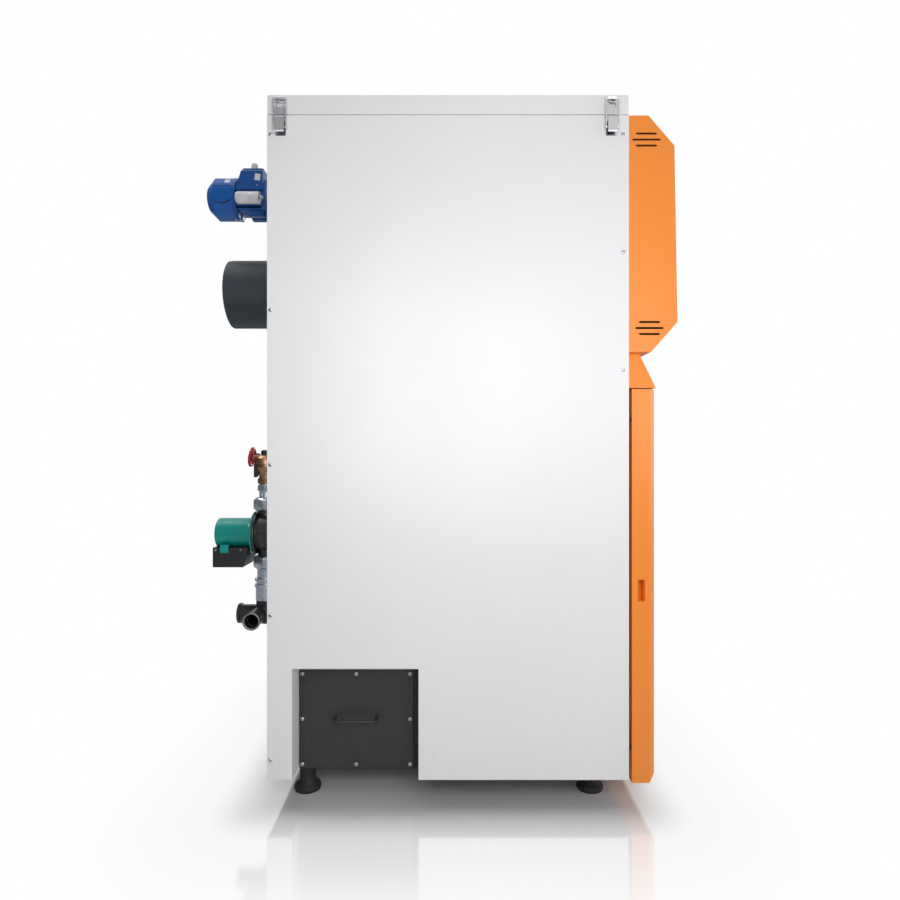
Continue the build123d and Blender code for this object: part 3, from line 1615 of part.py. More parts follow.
def hopper():
    """Feed bin of sheets: collar, funnel and box, with the flange that carries it."""
    rims = hopper_rims()
    walls = [hopper_sheets(low, high) for low, high in zip(rims, rims[1:])]
    z0 = casing_top_z
    z1 = z0 + hopper_sheet
    half = inner_x - deck_side_gap
    y0 = hopper_front_y - hopper_flange
    y1 = hopper_rear_y + hopper_flange
    flange = block(-half, half, y0, y1, z0, z1)
    flange -= block(-hopper_half_width, hopper_half_width, hopper_front_y, hopper_rear_y, z0, z1)
    return group(walls + [flange])


def auger_tube():
    """Tube with end plates, the inlet collar under the hopper and the spout over the drop tube."""
    r = auger_tube_radius
    inner = r - auger_tube_wall
    y0 = auger_tube_front_y
    y1 = auger_tube_rear_y
    p = auger_end_plate
    t = hopper_sheet
    tube = rod_y(r, y0, y1, 0, auger_z)
    half = hopper_outlet_half_width
    collar_top_z = hopper_outlet_z() - hopper_collar_height
    collar = block(-half, half, hopper_outlet_front_y, hopper_outlet_rear_y, auger_z, collar_top_z)
    spout_low_z = auger_z - r - auger_spout_drop
    spout = rod_z(drop_radius, spout_low_z, auger_z, 0, drop_y)
    plate_half = gear_box_half
    plate = block(-plate_half, plate_half, y0, y0 + p, auger_z - plate_half, auger_z + plate_half)
    whole = tube + collar + spout + plate
    whole -= rod_y(inner, y0 + p, y1 - p, 0, auger_z)
    inner_front_y = hopper_outlet_front_y + t
    inner_rear_y = hopper_outlet_rear_y - t
    whole -= block(-half + t, half - t, inner_front_y, inner_rear_y, auger_z, collar_top_z)
    whole -= rod_z(drop_radius - drop_wall, spout_low_z, auger_z, 0, drop_y)
    return whole - rod_y(auger_shaft_radius + auger_shaft_gap, y0, y1, 0, auger_z)


def auger_screw():
    """Shaft with one helical flight."""
    rear_y = auger_tube_rear_y - auger_end_plate - auger_end_gap
    length = auger_pitch * auger_turns
    shaft_y = auger_tube_front_y - gear_box_depth + gear_wall
    shaft = rod_y(auger_shaft_radius, shaft_y, auger_tube_rear_y, 0, auger_z)
    root = auger_shaft_radius - auger_flight_root
    middle = (auger_radius + root) / 2
    height = auger_radius - root
    path = Helix(pitch=auger_pitch, height=length, radius=middle)
    start = Plane(origin=path @ 0, x_dir=(1, 0, 0), z_dir=path % 0)
    flight = sweep(start * Rectangle(height, auger_flight), path=path, is_frenet=True)
    flight = Pos(0, rear_y, auger_z) * Rot(90, 0, 0) * flight
    return shaft + flight


def auger_gearbox():
    """Cast gear case in front of the tube, with ribs and a flat lid."""
    y1 = auger_tube_front_y
    y0 = y1 - gear_box_depth
    half = gear_box_half
    case = block(-half, half, y0, y1, auger_z - half, auger_z + half)
    case = fillet(case.edges().filter_by(Axis.Y), gear_box_corner)
    inner = half - gear_slot_depth
    slot_y0 = y0 + gear_slot_front_gap
    slot_y1 = y1 - gear_wall
    for place in range(-2, 3):
        z0 = auger_z + place * gear_slot_pitch - gear_slot_width / 2
        z1 = z0 + gear_slot_width
        case -= block(inner, half, slot_y0, slot_y1, z0, z1)
        case -= block(-half, -inner, slot_y0, slot_y1, z0, z1)
    return case - rod_y(auger_shaft_radius + auger_shaft_gap, y0 + gear_wall, y1, 0, auger_z)


def auger_motor():
    y1 = auger_tube_front_y - gear_box_depth
    motor = rod_y(gear_motor_radius, y1 - gear_motor_length, y1, 0, auger_z)
    motor = fillet(motor.edges().group_by(Axis.Y)[0], gear_motor_edge)
    groove_length = gear_motor_length - 2 * gear_motor_groove_margin
    for place in PolarLocations(gear_motor_radius, gear_motor_grooves):
        turned = Pos(0, y1 - gear_motor_length / 2, auger_z) * Rot(90, 0, 0) * place
        motor -= turned * Box(gear_motor_groove_depth, gear_motor_groove_width, groove_length)
    return motor


def drop_tube():
    """Tube from the auger spout down through the body to above the burner pot, its end cut on a slant."""
    top_z = auger_z - auger_tube_radius - auger_spout_drop
    tube = tube_z(drop_radius, drop_radius - drop_wall, drop_end_z, top_z, 0, drop_y)
    front_y = drop_y - drop_radius
    rear_y = drop_y + drop_radius
    slant = [(front_y, drop_end_z), (rear_y, drop_end_z), (rear_y, drop_end_z + drop_slant)]
    cut = side_prism(slant, -drop_radius, drop_radius)
    return tube - cut


# Burner and ash

def grate_plate():
    """Plate across the firebox with the seat of the pot and ash slots on both sides of it."""
    gap = grate_edge_gap
    half = firebox_half_width
    z0 = grate_z
    z1 = grate_z + grate_thickness
    y0 = body_front_y + fire_wall + grate_front_gap
    y1 = firebox_rear_y - gap
    plate = block(-half + gap, half - gap, y0, y1, z0, z1)
    seat = pot_half - pot_seat_overlap
    plate -= block(-seat, seat, pot_y - seat, pot_y + seat, z0, z1)
    rib = (grate_slot_pitch - grate_slot_width) / 2
    slots = int((y1 - y0) / grate_slot_pitch)
    for side in (-1, 1):
        x0, x1 = sorted((side * (pot_half + grate_slot_gap), side * (half - grate_slot_gap)))
        for number in range(slots):
            y = y0 + number * grate_slot_pitch + rib
            plate -= block(x0, x1, y, y + grate_slot_width, z0, z1)
    return plate


def grate_brackets():
    """Ledges welded to the firebox walls under the grate."""
    half = firebox_half_width
    inner = half - bracket_width
    z0 = grate_z - fire_wall
    y0 = body_front_y + fire_wall + bracket_front_gap
    y1 = firebox_rear_y - bracket_rear_gap
    return [block(-half, -inner, y0, y1, z0, grate_z), block(inner, half, y0, y1, z0, grate_z)]


def burner_pot():
    """Cast basket with rows of air holes in its walls and a slotted floor."""
    z0 = grate_z + grate_thickness
    z1 = z0 + pot_height
    half = pot_half
    wall = pot_wall
    inner = half - wall
    pot = block(-half, half, pot_y - half, pot_y + half, z0, z1)
    pot = fillet(pot.edges().filter_by(Axis.Z), pot_corner_radius)
    pot -= block(-inner, inner, pot_y - inner, pot_y + inner, z0 + wall, z1)
    for row in range(pot_hole_rows):
        z = z0 + pot_first_hole_rise + row * pot_hole_rise
        for number in range(pot_holes_per_side):
            along = (number - (pot_holes_per_side - 1) / 2) * pot_hole_pitch
            pot -= rod_x(pot_hole_radius, -half, half, pot_y + along, z)
            pot -= rod_y(pot_hole_radius, pot_y - half, pot_y + half, along, z)
    slot_half = inner - pot_slot_margin
    for number in range(pot_floor_slots):
        y = pot_y + (number - (pot_floor_slots - 1) / 2) * pot_slot_pitch
        pot -= block(-slot_half, slot_half, y - pot_slot_width / 2, y + pot_slot_width / 2, z0, z0 + wall)
    return pot


def igniter():
    """Hot rod whose tip stands behind the pot, on its bracket."""
    seat_z = grate_z + grate_thickness
    z = seat_z + igniter_rise
    y0 = pot_y + pot_half + igniter_gap
    rod = rod_y(igniter_radius, y0, y0 + igniter_length, 0, z)
    foot_y = y0 + igniter_length / 2
    foot_half = igniter_radius + igniter_foot_margin
    return rod + block(-foot_half, foot_half, foot_y, foot_y + igniter_foot_depth, seat_z, z)


def ash_drawer():
    """Open drawer on two runners on the firebox floor, with a slotted grip."""
    half = drawer_half_width
    t = drawer_sheet
    z0 = firebox_floor_z + drawer_runner_height
    z1 = z0 + drawer_height
    y0 = drawer_front_y
    y1 = drawer_rear_y
    drawer = block(-half, half, y0, y1, z0, z1)
    drawer -= block(-half + t, half - t, y0 + t, y1 - t, z0 + t, z1)
    for side in (-1, 1):
        x0, x1 = sorted((side * (half - drawer_runner_width), side * half))
        drawer += block(x0, x1, y0, y1, firebox_floor_z, z0)
    grip_z = (z0 + z1) / 2
    grip_half = drawer_grip_length / 2
    grip_low_z = grip_z - drawer_grip_height / 2
    grip_high_z = grip_z + drawer_grip_height / 2
    margin = drawer_grip_margin
    grip = block(-grip_half, grip_half, y0 - drawer_grip_sheet, y0, grip_low_z, grip_high_z)
    slot_half = grip_half - 2 * margin
    slot_low_z = grip_low_z + margin
    slot_high_z = grip_high_z - margin
    slot = block(-slot_half, slot_half, y0 - drawer_grip_sheet, y0 + t, slot_low_z, slot_high_z)
    return drawer + grip - slot


# Smoke path and draught fan

def smoke_riser():
    """Sheet duct from the up tubes to the fan inlet."""
    t = riser_sheet

    def space(inset):
        half = riser_half_width - inset
        y0 = riser_front_y + inset
        low_z = body_top_z
        hood = block(-half, half, y0, riser_hood_rear_y - inset, low_z, riser_hood_top_z - inset)
        shaft = block(-half, half, y0, riser_rear_y - inset, low_z, casing_top_z - riser_top_drop - inset)
        return hood + shaft

    riser = space(0) - space(t)
    return riser - rod_y(fan_inlet_radius, riser_rear_y - t, riser_rear_y, 0, fan_z)


def scroll_space(inset):
    """Offset round chamber, its outlet down one side, and the box in front of the flue."""
    y0 = riser_rear_y + inset
    y1 = riser_rear_y + scroll_depth - inset
    centre_z = fan_z - scroll_drop
    r = scroll_radius - inset
    chamber = rod_y(r, y0, y1, 0, centre_z)
    box_top_z = flue_z + flue_box_half_height - inset
    outlet = block(inset, r, y0, y1, box_top_z - 10, centre_z)
    half = flue_box_half_width - inset
    box = block(-half, half, y0, flue_box_rear_y - inset, flue_z - flue_box_half_height + inset, box_top_z)
    return chamber + outlet + box


def fan_scroll():
    t = scroll_sheet
    y0 = riser_rear_y
    y1 = riser_rear_y + scroll_depth
    housing = scroll_space(0) - scroll_space(t)
    housing -= rod_y(fan_inlet_radius, y0, y0 + t, 0, fan_z)
    housing -= rod_y(fan_mouth_radius, y1 - t, y1, 0, fan_z)
    return housing - rod_y(flue_radius - flue_wall, flue_box_rear_y - t, flue_box_rear_y, 0, flue_z)


def flue_outlet():
    """Collar for the smoke pipe, with its flange on the flue box."""
    y0 = flue_box_rear_y
    y1 = casing_rear_y + flue_reach
    collar = rod_y(flue_radius, y0, y1, 0, flue_z)
    collar = collar + rod_y(flue_flange_radius, y0, y0 + flue_flange_sheet, 0, flue_z)
    return collar - rod_y(flue_radius - flue_wall, y0, y1, 0, flue_z)


def scroll_rear_y():
    return riser_rear_y + scroll_depth


def fan_motor_plate():
    """Square plate over the scroll mouth, with four spacers to the motor flange."""
    y0 = scroll_rear_y()
    y1 = y0 + motor_plate_thickness
    half = motor_plate_half
    plate = block(-half, half, y0, y1, fan_z - half, fan_z + half)
    plate = fillet(plate.edges().filter_by(Axis.Y), 8)
    for x, z in standoff_places():
        plate += rod_y(motor_standoff_radius, y1, motor_front_y, x, z)
    return plate - rod_y(fan_shaft_radius + 1, y0, y1, 0, fan_z)


def standoff_places():
    reach = motor_standoff_circle * math.sqrt(0.5)
    return [(x, fan_z + z) for x in (-reach, reach) for z in (-reach, reach)]


def fan_shaft():
    """Motor shaft with the rotor core, the cooling disc and the retaining nut of the impeller."""
    nose_y = riser_rear_y + scroll_sheet + 2
    tail_y = motor_cowl_straight_y - 2
    shaft = rod_y(fan_shaft_radius, nose_y, tail_y, 0, fan_z)
    disc_y = casing_rear_y + 6
    disc = rod_y(cooling_disc_radius - 10, disc_y, disc_y + 3, 0, fan_z)
    core_radius = stator_bore_radius - rotor_gap
    core = rod_y(core_radius, motor_front_y + 16, stator_end_y - 12, 0, fan_z)
    return shaft + disc + core


def fan_impeller():
    """Back plate, hub and backward curved blades with a front ring."""
    front_y = riser_rear_y + scroll_sheet + 6
    back_y = front_y + impeller_depth
    plate = rod_y(impeller_radius, back_y - impeller_plate, back_y, 0, fan_z)
    hub = rod_y(impeller_hub_radius, front_y + 12, back_y, 0, fan_z)
    wheel = plate + hub
    outer = impeller_radius - 1
    inner = impeller_radius * 0.52
    for number in range(impeller_blades):
        angle = 360 * number / impeller_blades
        blade = make_face(blade_outline(inner, outer))
        solid = extrude(Plane.XZ.offset(-back_y + impeller_plate) * Rot(0, 0, angle) * blade,
                        amount=impeller_depth - impeller_plate - 1)
        wheel += Pos(0, 0, fan_z) * solid
    ring = rod_y(impeller_radius, front_y, front_y + impeller_plate, 0, fan_z)
    ring -= rod_y(inner + 6, front_y, front_y + impeller_plate, 0, fan_z)
    wheel += ring
    return wheel - rod_y(fan_shaft_radius, front_y, back_y, 0, fan_z)


def blade_outline(inner, outer):
    """Curved blade section from the inner radius to the outer, turning back as it goes out."""
    thick = 2.0
    turn_back = math.radians(38)
    radii = (inner, (inner + outer) / 2, outer)
    angles = (0, turn_back * 0.35, turn_back)
    front = [(r * math.cos(a), r * math.sin(a)) for r, a in zip(radii, angles)]
    back = [(r * math.cos(a - thick / r), r * math.sin(a - thick / r)) for r, a in zip(radii, angles)]
    sides = ThreePointArc(*front) + ThreePointArc(*back)
    return sides + Line(front[0], back[0]) + Line(front[2], back[2])


# Blue motor

def motor_flange():
    flange = rod_y(motor_flange_radius, motor_front_y, motor_front_y + motor_flange_thickness, 0, fan_z)
    flange = chamfer(flange.edges().group_by(Axis.Y)[0], 1.5)
    rear_y = motor_front_y + motor_flange_thickness
    return flange - rod_y(fan_shaft_radius + motor_shaft_gap, motor_front_y, rear_y, 0, fan_z)


def motor_stator():
    """Finned frame round the winding core, with its end ring, the seat of the cowl and two feet."""
    y0 = motor_front_y + motor_flange_thickness
    y1 = stator_end_y
    fin_y0 = y0 + stator_fin_end_gap
    fin_y1 = y1 - stator_fin_end_gap
    r = stator_fin_radius
    half = stator_fin_thickness / 2
    frame = rod_y(stator_core_radius, y0, y1, 0, fan_z)
    fins = []
    for step in range(-stator_fin_steps, stator_fin_steps + 1):
        z = fan_z + step * stator_fin_pitch
        fins.append(block(-r, r, fin_y0, fin_y1, z - half, z + half))
    frame += joined(fins) & rod_y(r, fin_y0, fin_y1, 0, fan_z)
    frame += rod_y(r - 1, y0, y0 + stator_ring_depth, 0, fan_z)
    frame += rod_y(motor_cowl_radius, y1 - stator_seat_depth, y1, 0, fan_z)
    frame += motor_pads()
    frame -= rod_y(stator_bore_radius, y0 + stator_bore_front, y1 - stator_bore_rear, 0, fan_z)
    return frame - rod_y(fan_shaft_radius + 0.1, y0, y1, 0, fan_z)


def motor_pads():
    """Feet cast under the frame, a long pair in front and a short pair at the rear."""
    z0 = fan_z - motor_pad_drop
    z1 = fan_z - stator_core_radius + stator_fin_thickness
    front_y = motor_front_y + motor_flange_thickness + motor_pad_front_inset
    rear_y = front_y + motor_pad_front_length + motor_pad_gap
    pads = []
    for side in (-1, 1):
        x0, x1 = sorted((side * motor_pad_inner, side * motor_pad_outer))
        pads.append(block(x0, x1, front_y, front_y + motor_pad_front_length, z0, z1))
        pads.append(block(x0, x1, rear_y, rear_y + motor_pad_rear_length, z0, z1))
    return joined(pads)


def terminal_box():
    """Box with a slanted rear side that rides on the frame, its lid and the round plug on top."""
    half = terminal_half_width
    y0 = motor_front_y + motor_flange_thickness
    y1 = stator_end_y - terminal_rear_gap
    top_y1 = y1 - terminal_slant
    z0 = terminal_bottom_z
    z1 = terminal_top_z
    box = side_prism([(y0, z0), (y1, z0), (top_y1, z1), (y0, z1)], -half, half)
    box = chamfer(box.edges().filter_by(Axis.Y).group_by(Axis.Z)[-1], terminal_edge)
    box -= rod_y(stator_fin_radius + running_gap, y0, y1, 0, fan_z)
    lid_half = half - terminal_edge
    lid_z = z1 + terminal_lid_height
    lid = block(-lid_half, lid_half, y0, top_y1, z1, lid_z)
    lid = fillet(lid.edges().filter_by(Axis.Z), terminal_edge)
    plug_y = y0 + terminal_plug_inset
    plug = rod_z(terminal_plug_radius, lid_z, lid_z + terminal_plug_height, terminal_plug_x, plug_y)
    plug = fillet(plug.edges().group_by(Axis.Z)[-1], terminal_plug_fillet)
    return box + lid + plug


def motor_cowl():
    """Round fan cover: tapered rear with slots in its end, open to the frame."""
    r = motor_cowl_radius
    t = motor_cowl_sheet
    y0 = stator_end_y
    y1 = motor_cowl_straight_y
    y2 = motor_cowl_end_y
    rim = r - motor_cowl_rim_drop
    outer = [(0, y0), (r, y0), (r, y1), (rim, y2), (0, y2)]
    inner = [(0, y0), (r - t, y0), (r - t, y1 - t / 2), (rim - t / 2, y2 - t), (0, y2 - t)]

    def turned(points):
        face = make_face(Plane.XY * Polyline(*points, close=True))
        return Pos(0, 0, fan_z) * revolve(face, axis=Axis.Y)

    cowl = turned(outer) - turned(inner)
    for ring_radius, count in cowl_slot_rings:
        slot_length = 2 * math.pi * ring_radius / count - cowl_slot_bridge
        for place in PolarLocations(ring_radius, count):
            turned_slot = Pos(0, y2, fan_z) * Rot(90, 0, 0) * place
            cowl -= turned_slot * Box(cowl_slot_width, slot_length, 3 * t)
    return cowl


def motor_cooling_fan():
    """Flat blades on a hub at the tail of the shaft, under the cowl."""
    y0 = stator_end_y + cooling_blade_gap
    y1 = motor_cowl_straight_y - cooling_blade_gap
    reach = motor_cowl_radius - cooling_blade_gap
    fan = rod_y(cooling_hub_radius, y0, y1, 0, fan_z)
    blade = block(cooling_hub_radius - 2, reach, y0, y1, -1, 1)
    for number in range(cooling_blade_count):
        fan += Pos(0, 0, fan_z) * Rot(0, 360 * number / cooling_blade_count, 0) * blade
    return fan - rod_y(fan_shaft_radius, y0, y1, 0, fan_z)


def motor_capacitor():
    """Run capacitor beside the frame, with its rounded tail and its stud."""
    y0 = capacitor_front_y
    can = rod_y(capacitor_radius, y0, capacitor_rear_y, capacitor_x, capacitor_z)
    can = fillet(can.edges().group_by(Axis.Y)[-1], capacitor_fillet)
    return can + rod_y(capacitor_stud_radius, y0 - capacitor_stud_length, y0, capacitor_x, capacitor_z)


def capacitor_bracket():
    """Saddle between the capacitor and the motor frame."""
    y0 = capacitor_front_y + capacitor_bracket_inset
    y1 = y0 + capacitor_bracket_length
    half = capacitor_bracket_half
    bracket = block(capacitor_x, -stator_core_radius, y0, y1, capacitor_z - half, capacitor_z + half)
    bracket -= rod_y(capacitor_radius, y0, y1, capacitor_x, capacitor_z)
    return bracket - motor_stator()


# Return line: valve, pump and tee on one upright axis

def pump_ports():
    half = pump_port_span / 2
    return pump_z - half, pump_z + half


def pump_volute():
    """Snail body with its two ports in line, thickened round the impeller, and the rim towards the motor."""
    low_z, high_z = pump_ports()
    y0 = pump_volute_front_y + pump_volute_lip
    y1 = pump_volute_rear_y
    rim_y = y1 - pump_rim_thickness
    groove_y = rim_y - pump_groove_width
    body = rod_y(pump_volute_radius, y0, groove_y, 0, pump_z)
    body = fillet(body.edges().group_by(Axis.Y)[0] + body.edges().group_by(Axis.Y)[-1], pump_volute_fillet)
    body += rod_y(pump_groove_radius, y0 + pump_volute_fillet, rim_y, 0, pump_z)
    body += rod_y(pump_rim_radius, rim_y, y1, 0, pump_z)
    ports = rod_z(pipe_radius + port_neck_growth, low_z, high_z, 0, pipe_y)
    for z0, z1 in ((low_z, low_z + port_rim_height), (high_z - port_rim_height, high_z)):
        ports += rod_z(pipe_radius + port_rim_growth, z0, z1, 0, pipe_y)
    bulge_y0 = y0 + port_rim_height / 2
    bulge = rod_y(pump_volute_radius - pump_bulge_inset, bulge_y0, bulge_y0 + pump_bulge_height,
                  -pump_bulge_shift, pump_z + pump_bulge_rise)
    body = body + ports + bulge
    bore = pipe_radius - pipe_wall
    body -= rod_z(bore, low_z, low_z + port_bore_depth, 0, pipe_y)
    return body - rod_z(bore, high_z - port_bore_depth, high_z, 0, pipe_y)


def pump_motor():
    """Thin flange ring with its screws, the smooth can behind it and the clip over the box."""
    y0 = pump_volute_rear_y
    y1 = y0 + pump_flange_thickness
    y2 = pump_motor_end_y
    ring = rod_y(pump_flange_radius, y0, y1, 0, pump_z)
    ring = chamfer(ring.edges().group_by(Axis.Y)[-1], pump_flange_chamfer)
    can = rod_y(pump_motor_radius, y1, y2, 0, pump_z)
    can = fillet(can.edges().group_by(Axis.Y)[-1], pump_can_fillet)
    body = ring + can - pump_box_space()
    reach = pump_flange_radius - pump_screw_inset
    for number in range(4):
        angle = math.radians(pump_screw_turn + 90 * number)
        body += rod_y(pump_screw_radius, y1, y1 + pump_screw_height, reach * math.cos(angle),
                      pump_z + reach * math.sin(angle))
    return body + pump_clip()


def pump_clip():
    """Shelf and tab from the can down over the side of the terminal box."""
    x0 = -pump_box_half_width - pump_clip_sheet
    y1 = pump_motor_end_y - pump_clip_rear_inset
    y0 = y1 - pump_clip_width
    z0 = pump_z - pump_box_top_drop - pump_clip_overlap
    z1 = pump_z - pump_clip_top_drop
    tab = block(x0, x0 + pump_clip_sheet, y0, y1, z0, z1)
    return tab + block(x0, pump_clip_inner_x, y0, y1, z1 - 2 * pump_clip_sheet, z1)


def pump_box_space():
    """Form of the terminal box that hangs under the pump motor."""
    y0 = pump_volute_rear_y + pump_box_front_gap
    y1 = pump_motor_end_y + pump_box_rear_reach
    z1 = pump_z - pump_box_top_drop
    z0 = pump_z - pump_box_drop
    points = [(y0, z0 + pump_box_slope_height), (y0 + pump_box_slope_depth, z0), (y1, z0)]
    points += [(y1, z1), (y0, z1)]
    return side_prism(points, -pump_box_half_width, pump_box_half_width)


def pump_terminal_box():
    """Box with the seat of the speed knob."""
    box = pump_box_space()
    box = fillet(box.edges().filter_by(Axis.Z), pump_box_fillet)
    knob_y = pump_motor_end_y + pump_box_rear_reach
    knob_z = pump_z - pump_knob_drop
    seat_y = knob_y + pump_knob_seat
    box = box + rod_y(pump_knob_radius + 2 * pump_knob_seat, knob_y, seat_y, 0, knob_z)
    hole_y = seat_y - pump_knob_stem_depth - pump_knob_seat
    return box - rod_y(pump_knob_stem_radius + latch_bore_gap, hole_y, seat_y, 0, knob_z)


def pump_speed_knob():
    y0 = pump_motor_end_y + pump_box_rear_reach + pump_knob_seat
    z = pump_z - pump_knob_drop
    r = pump_knob_radius
    y1 = y0 + pump_knob_height
    knob = rod_y(r, y0 + running_gap, y1, 0, z)
    knob = chamfer(knob.edges().group_by(Axis.Y)[-1], 1)
    grip = block(-2, 2, y1, y1 + pump_knob_grip, z - r + 1, z + r - 1)
    return knob + grip + rod_y(pump_knob_stem_radius, y0 - pump_knob_stem_depth, y0 + running_gap, 0, z)


def turned_hex_z(across_flats, edge, z0, z1, x, y):
    """Upright hexagon of a nut whose corners are turned off at both ends."""
    round_bar = rod_z(across_flats / math.sqrt(3), z0, z1, x, y)
    ends = round_bar.edges().group_by(Axis.Z)
    return hex_z(across_flats, z0, z1, x, y) & chamfer(ends[0] + ends[-1], edge)


def union_nuts():
    """Hexagon nuts that clamp the pump ports to the tail pieces."""
    low_z, high_z = pump_ports()
    reach = union_nut_reach
    grip = union_nut_grip
    nuts = []
    for z0, z1 in ((low_z - reach, low_z + grip), (high_z - grip, high_z + reach)):
        nut = turned_hex_z(2 * union_radius, union_nut_chamfer, z0, z1, 0, pipe_y)
        nuts.append(nut - rod_z(pipe_radius + port_rim_growth, z0, z1, 0, pipe_y))
    return group(nuts)


def pipe_section(outer, z0, z1):
    return tube_z(outer, pipe_radius - pipe_wall, z0, z1, 0, pipe_y)


def pipe_nut(z0, height):
    nut = turned_hex_z(nut_flats, nut_chamfer, z0, z0 + height, 0, pipe_y)
    return nut - rod_z(pipe_radius, z0, z0 + height, 0, pipe_y)


def upper_nipple():
    """Tail piece, hexagon and nipple between the pump and the valve."""
    high_z = pump_ports()[1]
    tail = pipe_section(pipe_radius + port_rim_growth, high_z, high_z + tail_length)
    pipe = pipe_section(pipe_radius, high_z + tail_length, high_z + nipple_length)
    return tail + pipe + pipe_nut(high_z + nipple_nut_rise, nipple_nut_height)


def lower_nipple():
    """Tail piece and ringed coupling between the pump and the tee."""
    low_z = pump_ports()[0]
    steps = [
        (coupling_radius, coupling_height),
        (coupling_ring_radius, coupling_ring_height),
        (coupling_neck_radius, coupling_ring_height),
        (coupling_ring_radius, coupling_ring_height),
    ]
    z = tee_z + tee_up_reach
    sections = []
    for radius, height in steps:
        sections.append(pipe_section(radius, z, z + height))
        z += height
    sections.append(pipe_section(lower_pipe_radius, z, low_z - tail_length))
    sections.append(pipe_section(pipe_radius + port_rim_growth, low_z - tail_length, low_z))
    return joined(sections)


def pipe_tee():
    """Cast tee with a banded port up, a rimmed one to the rear and a bell-mouthed one to the -X side."""
    r = tee_body_radius
    band_radius = r + tee_band_growth
    rear_y = pipe_y + tee_rear_reach
    side_y = pipe_y + tee_side_shift
    mouth_x = -tee_side_reach
    neck_x = mouth_x + tee_bell_length
    top_z = tee_z + tee_up_reach
    bore = pipe_radius - pipe_wall
    tee = rod_z(band_radius, tee_z - band_radius, tee_z + r, 0, pipe_y)
    tee = fillet(tee.edges().group_by(Axis.Z)[0], tee_heel_fillet)
    tee += rod_z(r, tee_z, top_z, 0, pipe_y)
    tee += rod_z(band_radius, top_z - tee_band_length, top_z, 0, pipe_y)
    tee += rod_y(r, pipe_y, rear_y, 0, tee_z)
    tee += rod_y(band_radius, rear_y - tee_rim_length, rear_y, 0, tee_z)
    tee += rod_x(tee_neck_radius, neck_x, 0, side_y, tee_z)
    bell = Cone(tee_neck_radius, r, tee_bell_length)
    tee += Pos((mouth_x + neck_x) / 2, side_y, tee_z) * Rot(0, -90, 0) * bell
    tee -= rod_z(bore, tee_z, top_z, 0, pipe_y)
    tee -= rod_y(bore, pipe_y, rear_y, 0, tee_z)
    tee -= rod_x(bore, mouth_x, 0, side_y, tee_z)
    tee -= rod_y(socket_bore_radius, rear_y - tee_thread_depth, rear_y, 0, tee_z)
    return tee - rod_x(socket_bore_radius, mouth_x, mouth_x + tee_thread_depth, side_y, tee_z)


def valve_low_z():
    return pump_ports()[1] + nipple_length


def valve_turning():
    """Turned body of the valve: neck, belly, groove, ring and dome."""
    z = valve_low_z()
    start = (0, z + valve_foot_height - nut_chamfer)
    ring_edge = (valve_ring_radius, z + valve_ring_high)
    crown = (valve_cap_radius, z + valve_height)
    sides = Polyline(
        start,
        (valve_neck_radius, start[1]),
        (valve_neck_radius, z + valve_neck_height),
        (valve_belly_radius, z + valve_belly_low),
        (valve_belly_radius, z + valve_belly_high),
        (valve_groove_radius, z + valve_belly_high),
        (valve_groove_radius, z + valve_ring_low),
        (valve_ring_radius, z + valve_ring_low),
        ring_edge,
    )
    dome = TangentArc(ring_edge, crown, tangent=(0, 1))
    closing = Polyline(crown, (0, z + valve_height), start)
    outline = make_face(Plane.XZ * (sides + dome + closing))
    return Pos(0, pipe_y, 0) * revolve(outline, axis=Axis.Z)


def valve_body():
    """Brass angle valve: hexagon below, turned body, outlet to the boiler and the house of the spindle."""
    low_z = valve_low_z()
    foot = turned_hex_z(valve_foot_flats, nut_chamfer, low_z, low_z + valve_foot_height, 0, pipe_y)
    y0 = return_socket_end_y + return_nipple_length
    outlet = rod_y(valve_radius - 1, y0, pipe_y - valve_cap_radius, 0, return_z)
    band = rod_y(valve_radius + 2, y0, y0 + valve_band_length, 0, return_z)
    whole = joined([valve_turning(), foot, outlet, band])
    whole = whole + valve_axis_rod(spindle_house_radius, 0, spindle_house_length)
    bore = pipe_radius - pipe_wall
    whole -= rod_z(bore, low_z, return_z, 0, pipe_y)
    whole -= rod_y(bore, y0, pipe_y, 0, return_z)
    return whole - valve_axis_rod(spindle_radius + latch_bore_gap, 0, spindle_house_length)


def valve_cover():
    """Black cover that hangs under the ring on the side of the handwheel."""
    half = valve_cover_half_width
    y0 = pipe_y + valve_neck_radius
    y1 = y0 + valve_cover_depth
    z1 = valve_low_z() + valve_ring_low
    z0 = z1 - valve_cover_height
    points = [(y0, z0 + valve_cover_slant), (y0 + valve_cover_depth / 2, z0), (y1, z0), (y1, z1), (y0, z1)]
    return side_prism(points, -half, half) - valve_turning()


def valve_axis_plane():
    """Start of the spindle at the valve's wall, its z axis along the tilted spindle."""
    tilt = math.radians(wheel_tilt)
    reach = wheel_y - pipe_y
    z = wheel_z - reach * math.tan(tilt)
    return Plane(origin=(0, pipe_y, z), x_dir=(1, 0, 0), z_dir=(0, math.cos(tilt), math.sin(tilt)))


def valve_axis_rod(radius, start, length):
    z0 = spindle_start + start
    return valve_axis_plane() * Pos(0, 0, z0 + length / 2) * Cylinder(radius, length)


def valve_cap():
    """Black cap on top of the valve."""
    low_z = valve_low_z() + valve_height
    cap = rod_z(valve_cap_radius, low_z, low_z + valve_cap_height, 0, pipe_y)
    return chamfer(cap.edges().group_by(Axis.Z)[-1], nut_chamfer)


def return_nipple():
    """Threaded nipple between the valve and the boiler's return socket."""
    y0 = return_socket_end_y
    y1 = y0 + return_nipple_length
    return tube_y(valve_radius, pipe_radius - pipe_wall, y0, y1, 0, return_z)


